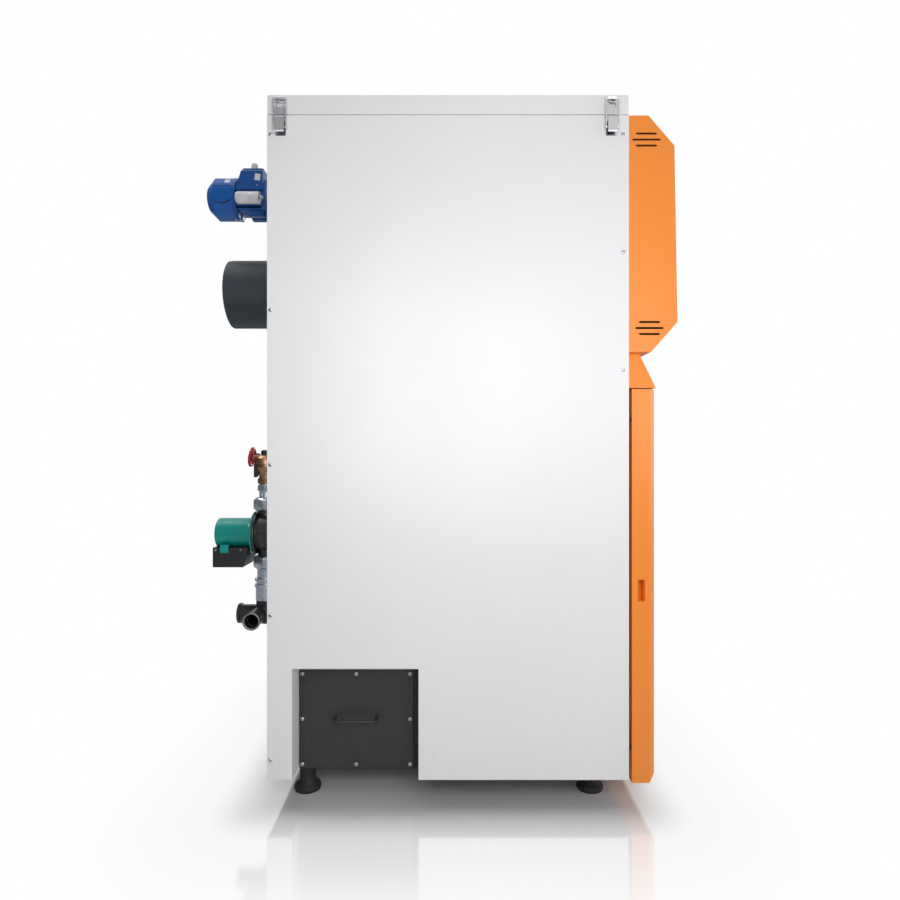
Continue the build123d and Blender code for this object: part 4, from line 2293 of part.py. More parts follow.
def handwheel():
    """Spoked wheel on its spindle."""
    distance = (wheel_y - pipe_y) / math.cos(math.radians(wheel_tilt))
    rim_reach = wheel_radius - wheel_rim_radius
    wheel = Torus(rim_reach, wheel_rim_radius) + Pos(0, 0, 1) * Cylinder(wheel_hub_radius, wheel_hub_height)
    for number in range(wheel_spokes):
        spoke = Pos(rim_reach / 2, 0, 0) * Box(rim_reach, wheel_spoke_width, wheel_rim_radius)
        wheel += Rot(0, 0, 360 * number / wheel_spokes) * spoke
    spindle_length = distance - spindle_start
    spindle = Pos(0, 0, -spindle_length / 2) * Cylinder(spindle_radius, spindle_length)
    return valve_axis_plane() * Pos(0, 0, distance) * (wheel + spindle)


parts = {
    "base_frame": group([base_frame(), floor_pan()]),
    "levelling_feet": levelling_feet(),
    "left_side_panel": left_side_panel(),
    "right_side_panel": right_side_panel(),
    "rear_panel": rear_panel(),
    "front_frame": front_frame(),
    "top_frame": group([top_frame(), service_deck()]),
    "casing_screws": group([casing_screws(), ash_cover_screws()]),
    "hopper": hopper(),
    "hopper_lid": hopper_lid(),
    "rubber_trim": rubber_trim(),
    "casing_hinges": group([lid_hinge_fixed(), door_hinge_fixed(), lid_hinge_pins(), door_hinge_pins()]),
    "lid_hinge_moving": lid_hinge_moving(),
    "latch_bases": latch_bases(),
    "latch_keepers": latch_keepers(),
    "front_latch_lever": at_latch(latch_lever(), latch_front_y),
    "rear_latch_lever": at_latch(latch_lever(), latch_rear_y),
    "front_latch_bail": at_latch(latch_bail(), latch_front_y),
    "rear_latch_bail": at_latch(latch_bail(), latch_rear_y),
    "bonnet": bonnet(),
    "lower_cowl": lower_cowl(),
    "control_unit": control_unit(),
    "display_glass": display_glass(),
    "control_knob": control_knob(),
    "mains_rocker": mains_rocker(),
    "door_panel": door_panel(),
    "door_plug": door_plug(),
    "door_board": door_board(),
    "door_rope": door_rope(),
    "door_hinge_moving": door_hinge_moving(),
    "ash_cover": ash_cover() + ash_cover_handle(),
    "ash_cover_gasket": ash_cover_gasket(),
    "boiler_body": boiler_body(),
    "flue_tubes": flue_tubes(),
    "insulation": insulation(),
    "turbulators": turbulators(),
    "auger_tube": group([auger_tube(), drop_tube()]),
    "auger_screw": auger_screw(),
    "auger_gear_motor": group([auger_gearbox(), auger_motor()]),
    "grate_plate": grate_plate(),
    "burner_pot": group([burner_pot(), igniter()]),
    "ash_drawer": ash_drawer(),
    "smoke_riser": smoke_riser(),
    "fan_scroll": fan_scroll(),
    "flue_outlet": flue_outlet(),
    "fan_motor_plate": fan_motor_plate(),
    "fan_shaft": group([fan_shaft(), motor_cooling_fan()]),
    "fan_impeller": fan_impeller(),
    "motor_frame": group([motor_flange(), motor_stator()]),
    "terminal_box": terminal_box(),
    "motor_cowl": motor_cowl(),
    "motor_capacitor": group([motor_capacitor(), capacitor_bracket()]),
    "pump_volute": pump_volute(),
    "pump_motor": pump_motor(),
    "pump_terminal_box": pump_terminal_box(),
    "pump_speed_knob": pump_speed_knob(),
    "pipe_fittings": group([union_nuts(), upper_nipple(), lower_nipple(), return_nipple()]),
    "pipe_tee": pipe_tee(),
    "valve_body": group([valve_body(), valve_cap(), valve_cover()]),
    "handwheel": handwheel(),
}

os.makedirs("parts", exist_ok=True)
for name, shape in parts.items():
    export_step(shape, "parts/" + name + ".step")
print(len(parts), "nodes written")
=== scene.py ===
import json
import math

import bmesh
import bpy
from mathutils import Matrix, Vector

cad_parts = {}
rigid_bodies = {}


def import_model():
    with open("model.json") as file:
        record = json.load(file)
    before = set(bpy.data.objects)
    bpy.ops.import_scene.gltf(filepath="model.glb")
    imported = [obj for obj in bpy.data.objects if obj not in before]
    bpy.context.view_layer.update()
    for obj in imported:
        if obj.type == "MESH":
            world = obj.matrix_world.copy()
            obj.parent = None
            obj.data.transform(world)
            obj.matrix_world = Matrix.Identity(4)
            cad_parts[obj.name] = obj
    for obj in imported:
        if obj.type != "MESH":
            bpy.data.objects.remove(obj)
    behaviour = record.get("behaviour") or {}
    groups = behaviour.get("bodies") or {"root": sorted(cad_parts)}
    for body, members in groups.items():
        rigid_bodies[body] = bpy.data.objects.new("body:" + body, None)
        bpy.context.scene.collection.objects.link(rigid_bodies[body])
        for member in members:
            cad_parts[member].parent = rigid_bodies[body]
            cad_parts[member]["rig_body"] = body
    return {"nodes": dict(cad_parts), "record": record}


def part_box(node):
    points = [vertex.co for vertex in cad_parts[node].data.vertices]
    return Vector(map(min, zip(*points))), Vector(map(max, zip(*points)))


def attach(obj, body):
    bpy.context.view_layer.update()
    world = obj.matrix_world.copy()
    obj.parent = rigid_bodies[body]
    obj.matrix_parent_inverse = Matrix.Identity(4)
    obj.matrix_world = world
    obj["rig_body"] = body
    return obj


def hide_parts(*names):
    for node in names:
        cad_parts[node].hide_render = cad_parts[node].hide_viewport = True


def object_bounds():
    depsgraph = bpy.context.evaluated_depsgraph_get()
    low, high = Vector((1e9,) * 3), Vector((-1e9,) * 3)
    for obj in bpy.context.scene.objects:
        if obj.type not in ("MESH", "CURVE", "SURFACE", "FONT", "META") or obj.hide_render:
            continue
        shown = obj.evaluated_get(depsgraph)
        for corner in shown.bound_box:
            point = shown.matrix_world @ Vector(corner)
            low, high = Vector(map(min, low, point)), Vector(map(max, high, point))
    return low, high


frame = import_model()
cad_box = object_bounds()
nodes = frame["nodes"]


# Colours

def tone(red, green, blue):
    """Linear colour from a screen colour given from 0 to 255."""
    out = []
    for value in (red, green, blue):
        c = value / 255
        out.append(c / 12.92 if c <= 0.04045 else ((c + 0.055) / 1.055) ** 2.4)
    return (out[0], out[1], out[2], 1.0)


def shade(colour, factor):
    return (colour[0] * factor, colour[1] * factor, colour[2] * factor, 1.0)


# Materials

# Range in which most of a noise pattern lies
noise_low = 0.3
noise_high = 0.7


class Graph:
    """Short calls for building one node material."""

    def __init__(self, name):
        self.material = bpy.data.materials.new(name)
        self.material.use_nodes = True
        self.tree = self.material.node_tree
        self.tree.nodes.clear()
        self.out = self.tree.nodes.new("ShaderNodeOutputMaterial")
        self.shader = self.tree.nodes.new("ShaderNodeBsdfPrincipled")
        self.link(self.shader.outputs[0], self.out.inputs[0])
        self.place = self.tree.nodes.new("ShaderNodeTexCoord").outputs["Object"]

    def link(self, a, b):
        self.tree.links.new(a, b)

    def stretched(self, scale):
        node = self.tree.nodes.new("ShaderNodeMapping")
        node.inputs["Scale"].default_value = scale
        self.link(self.place, node.inputs["Vector"])
        return node.outputs[0]

    def noise(self, scale, detail=4.0, rough=0.55, where=None, twist=0.0):
        node = self.tree.nodes.new("ShaderNodeTexNoise")
        node.inputs["Scale"].default_value = scale
        node.inputs["Detail"].default_value = detail
        node.inputs["Roughness"].default_value = rough
        node.inputs["Distortion"].default_value = twist
        self.link(where or self.place, node.inputs["Vector"])
        return node.outputs["Fac"]

    def cells(self, scale, output="Distance"):
        node = self.tree.nodes.new("ShaderNodeTexVoronoi")
        node.inputs["Scale"].default_value = scale
        self.link(self.place, node.inputs["Vector"])
        return node.outputs[output]

    def bands(self, scale, where=None):
        """Slanting stripes."""
        node = self.tree.nodes.new("ShaderNodeTexWave")
        node.bands_direction = "DIAGONAL"
        node.inputs["Scale"].default_value = scale
        node.inputs["Distortion"].default_value = 0.0
        self.link(where or self.place, node.inputs["Vector"])
        return node.outputs["Fac"]

    def spread(self, source, low, high, out_low=0.0, out_high=1.0):
        """A value between low and high, moved in proportion to another range."""
        node = self.tree.nodes.new("ShaderNodeMapRange")
        node.inputs["From Min"].default_value = low
        node.inputs["From Max"].default_value = high
        node.inputs["To Min"].default_value = out_low
        node.inputs["To Max"].default_value = out_high
        self.link(source, node.inputs["Value"])
        return node.outputs[0]

    def reckon(self, operation, a, b=0.0):
        """One step of arithmetic on a socket and either a number or another socket."""
        node = self.tree.nodes.new("ShaderNodeMath")
        node.operation = operation
        self.link(a, node.inputs[0])
        if isinstance(b, float):
            node.inputs[1].default_value = b
        else:
            self.link(b, node.inputs[1])
        return node.outputs[0]

    def times(self, a, b):
        return self.reckon("MULTIPLY", a, b)

    def smooth(self, source, low, high):
        """0 at low and 1 at high, with soft ends."""
        node = self.tree.nodes.new("ShaderNodeMapRange")
        node.interpolation_type = "SMOOTHSTEP"
        node.inputs["From Min"].default_value = low
        node.inputs["From Max"].default_value = high
        self.link(source, node.inputs["Value"])
        return node.outputs[0]

    def blend(self, fac, low, high):
        """Mixes two colours, given as sockets or as values."""
        node = self.tree.nodes.new("ShaderNodeMix")
        node.data_type = "RGBA"
        self.link(fac, node.inputs[0])
        for index, value in ((6, low), (7, high)):
            if isinstance(value, bpy.types.NodeSocket):
                self.link(value, node.inputs[index])
            else:
                node.inputs[index].default_value = value
        return node.outputs[2]

    def edges(self, radius):
        """1 on outer edges of the form, 0 on flat faces."""
        round_node = self.tree.nodes.new("ShaderNodeBevel")
        round_node.samples = 6
        round_node.inputs["Radius"].default_value = radius
        geometry = self.tree.nodes.new("ShaderNodeNewGeometry")
        dot = self.tree.nodes.new("ShaderNodeVectorMath")
        dot.operation = "DOT_PRODUCT"
        self.link(round_node.outputs[0], dot.inputs[0])
        self.link(geometry.outputs["Normal"], dot.inputs[1])
        return self.spread(dot.outputs["Value"], 0.98, 0.8)

    def crevices(self, distance):
        """1 in corners and gaps, 0 in the open."""
        node = self.tree.nodes.new("ShaderNodeAmbientOcclusion")
        node.samples = 6
        node.inputs["Distance"].default_value = distance
        return self.spread(node.outputs["AO"], 0.75, 0.2)

    def height(self):
        split = self.tree.nodes.new("ShaderNodeSeparateXYZ")
        self.link(self.place, split.inputs[0])
        return split.outputs["Z"]

    def bump(self, source, depth, strength, edge=0.0):
        """Relief from a height value, on edges rounded by a radius where one is given."""
        node = self.tree.nodes.new("ShaderNodeBump")
        node.inputs["Strength"].default_value = strength
        node.inputs["Distance"].default_value = depth
        self.link(source, node.inputs["Height"])
        if edge:
            self.link(self.rounded(edge), node.inputs["Normal"])
        return node.outputs[0]

    def rounded(self, radius):
        node = self.tree.nodes.new("ShaderNodeBevel")
        node.samples = 4
        node.inputs["Radius"].default_value = radius
        return node.outputs[0]

    def put(self, name, value):
        socket = self.shader.inputs[name]
        if isinstance(value, bpy.types.NodeSocket):
            self.link(value, socket)
        else:
            socket.default_value = value

    def mottled(self, source, colour, dark, light):
        """Colour that wanders between a dark and a light shade of itself."""
        place = self.spread(source, noise_low, noise_high)
        return self.blend(place, shade(colour, dark), shade(colour, light))

    def crevice_shade(self, base, distance, amount, colour):
        """Painted shade: a base colour that turns to another one in its corners and gaps."""
        return self.blend(self.times(self.crevices(distance), amount), base, colour)

    def put_roughness(self, source, low, high):
        """Roughness that wanders between two values."""
        self.put("Roughness", self.spread(source, noise_low, noise_high, low, high))


def coated_sheet(name, colour, rough, peel=0.00005, dust=0.10):
    """Powder coated steel sheet: fine peel, faint handling marks, a little dust low down."""
    g = Graph(name)
    fine = g.noise(60.0, 5.0)
    base = g.mottled(g.noise(2.2, 3.0), colour, 0.975, 1.015)
    base = g.blend(g.times(g.spread(fine, 0.55, 0.8), 0.06), base, shade(colour, 0.85))
    low = g.spread(g.height(), 0.35, 0.03)
    specks = g.spread(g.noise(240.0, 3.0), 0.5, 0.75)
    base = g.blend(g.times(g.times(low, specks), dust), base, shade(tone(150, 140, 126), 0.8))
    # painted shade in corners and gaps
    g.put("Base Color", g.crevice_shade(base, 0.006, 0.35, shade(colour, 0.35)))
    wipe = g.noise(5.0, 4.0, 0.6, g.stretched((1.0, 1.0, 0.25)))
    g.put_roughness(wipe, rough - 0.05, rough + 0.07)
    g.put("Normal", g.bump(g.noise(1100.0, 2.0), peel, 0.5, edge=0.0009))
    return g.material


def painted_casting(name, colour, rough, grain, edge_wear_and_shade_colour=None, edge=0.0008):
    """Paint over a sand casting: pebbled skin, painted shade in corners, and patches of a given colour on
    the edges, which stand for worn paint where that colour is lighter and are painted shade where it is
    darker.
    """
    g = Graph(name)
    pebble = g.noise(420.0, 5.0, 0.6)
    base = g.mottled(g.noise(18.0, 4.0), colour, 0.8, 1.15)
    # painted shade in corners and gaps
    base = g.crevice_shade(base, 0.008, 0.7, shade(colour, 0.25))
    # Patches on the edges: worn paint with a lighter colour, painted shade with a darker one.
    edge_wear_and_shade = g.times(g.edges(0.0012), g.spread(g.noise(90.0, 4.0), 0.48, 0.62))
    g.put("Base Color", g.blend(g.times(edge_wear_and_shade, 0.55), base, edge_wear_and_shade_colour or shade(colour, 2.2)))
    g.put_roughness(pebble, rough - 0.08, rough + 0.12)
    g.put("Normal", g.bump(pebble, grain, 0.8, edge=edge))
    return g.material


def bare_metal(name, colour, rough, grain=(1.0, 1.0, 1.0), scale=300.0, stain=None, amount=0.25):
    """Bare metal with stains and soft edges, and lines along the axis whose grain is small."""
    g = Graph(name)
    lines = g.noise(scale, 4.0, 0.6, g.stretched(grain))
    cloud = g.noise(14.0, 5.0, 0.6)
    base = g.mottled(lines, colour, 0.86, 1.08)
    base = g.blend(g.times(g.spread(cloud, 0.45, 0.8), amount), base, stain or shade(colour, 0.5))
    # painted shade in corners and gaps
    g.put("Base Color", g.crevice_shade(base, 0.005, 0.6, shade(colour, 0.22)))
    g.put("Metallic", 1.0)
    g.put_roughness(lines, rough - 0.06, rough + 0.1)
    g.put("Normal", g.bump(lines, 0.00004, 0.6, edge=0.0005))
    return g.material


def moulded(name, colour, rough):
    """Moulded plastic or rubber with a spark-eroded grain, a painted highlight on its edges and painted
    shade in its corners.
    """
    g = Graph(name)
    base = g.mottled(g.noise(25.0, 3.0), colour, 0.9, 1.12)
    # Painted highlight: every edge lighter.
    base = g.blend(g.times(g.edges(0.0008), 0.35), base, shade(colour, 2.0))
    # painted shade in corners and gaps
    g.put("Base Color", g.crevice_shade(base, 0.005, 0.5, shade(colour, 0.4)))
    g.put_roughness(g.noise(70.0, 4.0), rough - 0.06, rough + 0.1)
    g.put("Normal", g.bump(g.cells(1300.0), 0.00006, 0.6, edge=0.0006))
    return g.material


def dark_glass(name):
    """Glossy black glass with faint smears."""
    g = Graph(name)
    smear = g.noise(30.0, 4.0, 0.6, g.stretched((1.0, 1.0, 0.3)))
    streaks = g.spread(smear, noise_low, noise_high)
    g.put("Base Color", g.blend(streaks, tone(12, 16, 20), tone(20, 26, 32)))
    g.put("Roughness", g.spread(smear, 0.35, 0.75, 0.05, 0.14))
    g.put("Coat Weight", 0.6)
    g.put("Coat Roughness", 0.05)
    return g.material


def fibre_board(name, colour):
    """Pressed mineral board with flakes and pores."""
    g = Graph(name)
    flakes = g.cells(260.0, output="Color")
    pores = g.cells(420.0)
    base = g.blend(g.times(flakes, 0.45), colour, tone(150, 120, 70))
    base = g.blend(g.spread(pores, 0.16, 0.05), base, shade(colour, 0.4))
    g.put("Base Color", base)
    g.put("Roughness", g.spread(pores, 0.1, 0.6, 0.95, 0.82))
    g.put("Normal", g.bump(pores, 0.0006, 0.7))
    return g.material


def braided_rope(name, colour):
    """Plaited glass rope: two sets of slanting strands with fine fibres, and painted shade between the
    strands.
    """
    g = Graph(name)
    one = g.bands(90.0)
    two = g.bands(90.0, g.stretched((-1.0, 1.0, -1.0)))
    weave = g.times(one, two)
    fibre = g.noise(900.0, 3.0)
    # Painted shade: darker where the strands part.
    base = g.blend(g.spread(weave, 0.0, 0.5), shade(colour, 0.45), colour)
    g.put("Base Color", g.blend(g.times(fibre, 0.3), base, shade(colour, 0.7)))
    g.put_roughness(fibre, 0.85, 0.98)
    g.put("Normal", g.bump(weave, 0.0012, 0.9))
    return g.material


def mineral_wool(name, colour):
    """Loose wool whose strands lie along one axis."""
    g = Graph(name)
    strands = g.noise(160.0, 8.0, 0.75, g.stretched((0.3, 1.0, 1.0)), 1.5)
    base = g.blend(g.spread(strands, 0.35, 0.65), shade(colour, 0.55), shade(colour, 1.15))
    g.put("Base Color", base)
    g.put_roughness(strands, 0.98, 0.85)
    g.put("Normal", g.bump(strands, 0.003, 0.9))
    return g.material


def galvanised_skin(name, colour):
    """Hot dip zinc: dull spangles of slightly different greys, white bloom in patches, and painted shade
    in the corners.
    """
    g = Graph(name)
    spangle = g.cells(160.0, output="Color")
    cloud = g.noise(40.0, 4.0)
    base = g.blend(g.times(spangle, 0.6), shade(colour, 0.9), shade(colour, 1.1))
    base = g.blend(g.times(g.spread(cloud, 0.5, 0.75), 0.35), base, tone(186, 194, 200))
    # painted shade in corners and gaps
    g.put("Base Color", g.crevice_shade(base, 0.006, 0.7, shade(colour, 0.2)))
    g.put("Metallic", 0.85)
    g.put_roughness(cloud, 0.2, 0.36)
    g.put("Normal", g.bump(g.noise(500.0, 4.0), 0.00008, 0.7, edge=0.0007))
    return g.material


finishes = {
    "casing_white": coated_sheet("casing_white", tone(237, 237, 238), 0.36),
    "front_orange": coated_sheet("front_orange", tone(249, 144, 52), 0.34, dust=0.06),
    "black_enamel": coated_sheet("black_enamel", tone(42, 42, 43), 0.42, peel=0.00012),
    "black_rubber": moulded("black_rubber", tone(26, 26, 27), 0.7),
    "grey_steel": bare_metal("grey_steel", tone(150, 152, 155), 0.42, (1.0, 1.0, 0.05), 160.0),
    "zinc": bare_metal("zinc", tone(196, 200, 206), 0.28, stain=tone(150, 150, 140)),
    "stainless": bare_metal("stainless", tone(198, 199, 201), 0.2, (1.0, 1.0, 0.04), 420.0, amount=0.12),
    "black_plastic": moulded("black_plastic", tone(26, 28, 30), 0.5),
    "display_glass": dark_glass("display_glass"),
    "grey_plastic": moulded("grey_plastic", tone(224, 223, 227), 0.4),
    "board_beige": fibre_board("board_beige", tone(206, 188, 156)),
    "rope_white": braided_rope("rope_white", tone(226, 222, 212)),
    "slate_paint": painted_casting("slate_paint", tone(44, 53, 60), 0.52, 0.0001, edge=0.001),
    "wool_yellow": mineral_wool("wool_yellow", tone(204, 178, 104)),
    "cast_grey": painted_casting("cast_grey", tone(96, 97, 99), 0.6, 0.0004),
    # The dark edge colours of motor_casting, motor_blue and pump_green are painted shade on their edges.
    "motor_casting": painted_casting("motor_casting", tone(0, 80, 152), 0.34, 0.0002, tone(2, 34, 84)),
    "motor_blue": painted_casting("motor_blue", tone(0, 90, 174), 0.3, 0.00005, tone(2, 38, 92)),
    "cast_black": painted_casting("cast_black", tone(36, 40, 42), 0.32, 0.0002, tone(84, 88, 90)),
    "pump_green": painted_casting("pump_green", tone(2, 152, 142), 0.34, 0.0001, tone(2, 104, 98)),
    "galvanised": galvanised_skin("galvanised", tone(204, 214, 224)),
    "brass": bare_metal("brass", tone(188, 146, 116), 0.34, stain=tone(104, 74, 54), amount=0.4),
    "red_plastic": moulded("red_plastic", tone(190, 26, 48), 0.36),
}

# The material slot of each node, which has its finish until a dressed piece replaces it
slots = {entry["node"]: entry["material_slot"] for entry in frame["record"]["subparts"]}
for name, node in nodes.items():
    node.data.materials.clear()
    node.data.materials.append(finishes[slots[name]])


# Mesh tools

def aim(place, direction, up=(0.0, 0.0, 1.0)):
    """Matrix at a place whose z axis points along a direction."""
    z = Vector(direction).normalized()
    x = Vector(up).cross(z)
    if x.length < 1e-6:
        x = Vector((1.0, 0.0, 0.0))
    x.normalize()
    matrix = Matrix((x, z.cross(x), z)).transposed().to_4x4()
    matrix.translation = Vector(place)
    return matrix


def keep(name, bm, body, slot, stands_for, angle, soft=0.0):
    """Turns a bmesh into a finished piece that rides on a body."""
    bmesh.ops.recalc_face_normals(bm, faces=bm.faces)
    mesh = bpy.data.meshes.new(name)
    bm.to_mesh(mesh)
    bm.free()
    mesh.shade_smooth()
    mesh.set_sharp_from_angle(angle=math.radians(angle))
    mesh.materials.append(finishes[slot])
    obj = bpy.data.objects.new(name, mesh)
    bpy.context.scene.collection.objects.link(obj)
    if soft:
        rounding = obj.modifiers.new("rounding", "BEVEL")
        rounding.width = soft
        rounding.segments = 2
        rounding.limit_method = "ANGLE"
        rounding.angle_limit = math.radians(angle)
        rounding.harden_normals = True
    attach(obj, body)
    if stands_for:
        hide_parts(*stands_for)
    return obj


def around(bm, where, radius, angle, along):
    """New vertex at an angle and a radius round the z axis of a place."""
    return bm.verts.new(where @ Vector((radius * math.cos(angle), radius * math.sin(angle), along)))


def ring_of(bm, where, radius, along, steps):
    """Ring of vertices, or a single one on the axis where there is no radius."""
    if radius < 1e-6:
        return [bm.verts.new(where @ Vector((0.0, 0.0, along)))]
    return [around(bm, where, radius, 2 * math.pi * k / steps, along) for k in range(steps)]


def bridge(bm, low, high):
    """Faces between two rings, one of which may be a single vertex."""
    count = max(len(low), len(high))
    for k in range(count):
        j = (k + 1) % count
        corners = [low[k % len(low)], low[j % len(low)], high[j % len(high)], high[k % len(high)]]
        corners = list(dict.fromkeys(corners))
        if len(corners) > 2:
            bm.faces.new(corners)


def joined(bm, rings):
    """Faces between each ring and the next one."""
    for low, high in zip(rings, rings[1:]):
        bridge(bm, low, high)


def turned(bm, where, profile, steps, closed=True):
    """Round form from (radius, height) points. A closed profile joins its last point to the first."""
    rings = [ring_of(bm, where, radius, along, steps) for radius, along in profile]
    joined(bm, rings)
    if closed and len(rings[0]) > 1 and len(rings[-1]) > 1:
        bridge(bm, rings[-1], rings[0])


def prism(bm, where, outline, low, high):
    a = [bm.verts.new(where @ Vector((x, y, low))) for x, y in outline]
    b = [bm.verts.new(where @ Vector((x, y, high))) for x, y in outline]
    bm.faces.new(a[::-1])
    bm.faces.new(b)
    bridge(bm, a, b)


def slab(bm, low, high, where=None):
    x0, y0, z0 = low
    x1, y1, z1 = high
    prism(bm, where or Matrix.Identity(4), [(x0, y0), (x1, y0), (x1, y1), (x0, y1)], z0, z1)


def threaded(bm, where, radius, depth, pitch, low, high, steps, inner=0.0):
    """Rod or sleeve with a helical thread on its outside. A negative depth puts it inside a bore."""
    rows = max(3, round((high - low) / pitch * 4))
    rings = [ring_of(bm, where, inner, low, steps)]
    for row in range(rows + 1):
        along = low + (high - low) * row / rows
        ring = []
        for k in range(steps):
            phase = (along / pitch - k / steps) % 1.0
            r = radius - depth * abs(2 * phase - 1)
            if row in (0, rows):
                r = radius - depth
            ring.append(around(bm, where, r, 2 * math.pi * k / steps, along))
        rings.append(ring)
    rings.append(ring_of(bm, where, inner, high, steps))
    joined(bm, rings)
    if inner:
        bridge(bm, rings[-1], rings[0])


def swept(bm, points, radius, steps, ends=True):
    """Round bar along a line of points."""
    points = [Vector(p) for p in points]
    side = None
    rings = []
    for k, p in enumerate(points):
        before = points[max(k - 1, 0)]
        after = points[min(k + 1, len(points) - 1)]
        way = (after - before).normalized()
        if side is None:
            side = way.orthogonal().normalized()
        side = (side - way * side.dot(way)).normalized()
        other = way.cross(side)
        ring = []
        for j in range(steps):
            a = 2 * math.pi * j / steps
            ring.append(bm.verts.new(p + (side * math.cos(a) + other * math.sin(a)) * radius))
        rings.append(ring)
    joined(bm, rings)
    if ends:
        bm.faces.new(rings[0][::-1])
        bm.faces.new(rings[-1])


# Screws and nuts

def cross_outline(arm, half):
    """Outline of a cross with four equal arms, each twice the half width across."""
    points = []
    for quarter in range(4):
        a = quarter * math.pi / 2
        for x, y in ((arm, -half), (arm, half), (half, half)):
            points.append((x * math.cos(a) - y * math.sin(a), x * math.sin(a) + y * math.cos(a)))
    return points


def pan_head(bm, where, radius, height):
    """Domed screw head with a cross recess."""
    flat = radius * 0.62
    profile = [
        (radius, 0.0), (radius, height * 0.35), (radius * 0.93, height * 0.68),
        (radius * 0.8, height * 0.88), (flat, height),
    ]
    rings = [ring_of(bm, where, r, h, 24) for r, h in profile]
    joined(bm, rings)
    bm.faces.new(rings[0][::-1])
    points = cross_outline(flat * 0.85, flat * 0.2)
    top = [bm.verts.new(where @ Vector((x, y, height))) for x, y in points]
    pit = [bm.verts.new(where @ Vector((x * 0.5, y * 0.5, height * 0.25))) for x, y in points]
    bridge(bm, top, pit)
    bm.faces.new(pit)
    edges = []
    for ring in (rings[-1], top):
        edges += [bm.edges.get(pair) for pair in zip(ring, ring[1:] + ring[:1])]
    bmesh.ops.triangle_fill(bm, edges=edges, use_beauty=True)


def hexagon_reach(apothem, angle):
    """Distance from the middle of a hexagon to its outline at an angle."""
    return apothem / math.cos(angle % (math.pi / 3) - math.pi / 6)


def socket_head(bm, where, radius, height):
    """Cylinder head screw with a hexagon socket."""
    steps = 24
    profile = [(radius, 0.0), (radius, height * 0.85), (radius * 0.9, height), (radius * 0.62, height)]
    rings = [ring_of(bm, where, r, h, steps) for r, h in profile]
    bm.faces.new(rings[0][::-1])
    joined(bm, rings)
    socket = []
    floor = []
    for k in range(steps):
        a = 2 * math.pi * k / steps
        r = hexagon_reach(radius * 0.5, a)
        socket.append(around(bm, where, r, a, height))
        floor.append(around(bm, where, r, a, height * 0.45))
    joined(bm, [rings[-1], socket, floor])
    bm.faces.new(floor)


def hexagon_head(bm, where, across, height):
    """Hexagon screw head with its top corners chamfered."""
    apothem = across / 2
    steps = 48
    base = []
    corner = []
    for k in range(steps):
        a = 2 * math.pi * k / steps
        r = hexagon_reach(apothem, a)
        drop = max(0.0, r - apothem * 1.005) * 0.6
        base.append(around(bm, where, r, a, 0.0))
        corner.append(around(bm, where, r, a, height - drop))
    flat = ring_of(bm, where, apothem * 0.97, height, steps)
    bm.faces.new(base[::-1])
    joined(bm, [base, corner, flat])
    bm.faces.new(flat)


def hexagon_nut(bm, where, across, low, high, bore):
    """Nut with chamfered corners on both faces and a round bore."""
    apothem = across / 2
    countersink = across * 0.03
    steps = 48
    chain = []
    for face, level in ((-1, low), (1, high)):
        corner = []
        for k in range(steps):
            a = 2 * math.pi * k / steps
            r = hexagon_reach(apothem, a)
            drop = max(0.0, r - apothem * 1.005) * 0.62
            corner.append(around(bm, where, r, a, level - face * drop))
        flat = ring_of(bm, where, apothem * 0.985, level, steps)
        hole = ring_of(bm, where, bore + countersink, level, steps)
        rim = ring_of(bm, where, bore, level - face * countersink, steps)
        chain += [rim, hole, flat, corner][::-face]
    joined(bm, chain)
    bridge(bm, chain[-1], chain[0])


# Solids of the frame

def merged(node):
    """Bmesh of a CAD node with its doubled vertices made one."""
    bm = bmesh.new()
    bm.from_mesh(nodes[node].data)
    bmesh.ops.remove_doubles(bm, verts=bm.verts, dist=1e-5)
    return bm


def connected(bm):
    """Groups of vertices that hang together."""
    left = set(bm.verts)
    groups = []
    while left:
        stack = [left.pop()]
        group = []
        while stack:
            v = stack.pop()
            group.append(v)
            for edge in v.link_edges:
                other = edge.other_vert(v)
                if other in left:
                    left.remove(other)
                    stack.append(other)
        groups.append(group)
    return groups


def span(points):
    """Lowest and highest corner of some points."""
    low = Vector([min(p[i] for p in points) for i in range(3)])
    high = Vector([max(p[i] for p in points) for i in range(3)])
    return low, high


def middle_of(node):
    """Middle of the box round a CAD node."""
    low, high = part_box(node)
    return (low + high) / 2


def islands(node):
    """Lowest and highest corner of each separate solid in a CAD node."""
    bm = merged(node)
    found = [span([v.co for v in group]) for group in connected(bm)]
    bm.free()
    return sorted(found, key=lambda pair: tuple(round(c, 4) for c in pair[0]))


def dressed(node, soft):
    """The CAD form again with its edges rounded."""
    bm = merged(node)
    bmesh.ops.dissolve_limit(bm, angle_limit=math.radians(1.0), verts=bm.verts, edges=bm.edges)
    return keep(node + "_skin", bm, nodes[node]["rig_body"], slots[node], (node,), 40, soft)


# Casing

# How far each CAD form is rounded, by node, in metres
soft_edges = {
    "left_side_panel": 0.0006, "right_side_panel": 0.0006, "bonnet": 0.0007, "lower_cowl": 0.0007,
    "door_panel": 0.0007, "front_frame": 0.0006, "ash_cover": 0.0008, "base_frame": 0.0008,
    "control_unit": 0.0008, "casing_hinges": 0.0004, "lid_hinge_moving": 0.0004,
    "door_hinge_moving": 0.0004, "latch_bases": 0.0003, "latch_keepers": 0.0003,
    "front_latch_lever": 0.0003, "rear_latch_lever": 0.0003, "flue_outlet": 0.0006,
    "fan_motor_plate": 0.0006, "motor_frame": 0.0006, "terminal_box": 0.0010, "motor_cowl": 0.0004,
    "pump_volute": 0.0010, "pump_motor": 0.0006, "pump_terminal_box": 0.0009, "pipe_fittings": 0.0007,
    "pipe_tee": 0.0010, "burner_pot": 0.0010, "door_plug": 0.0006, "ash_drawer": 0.0005,
}


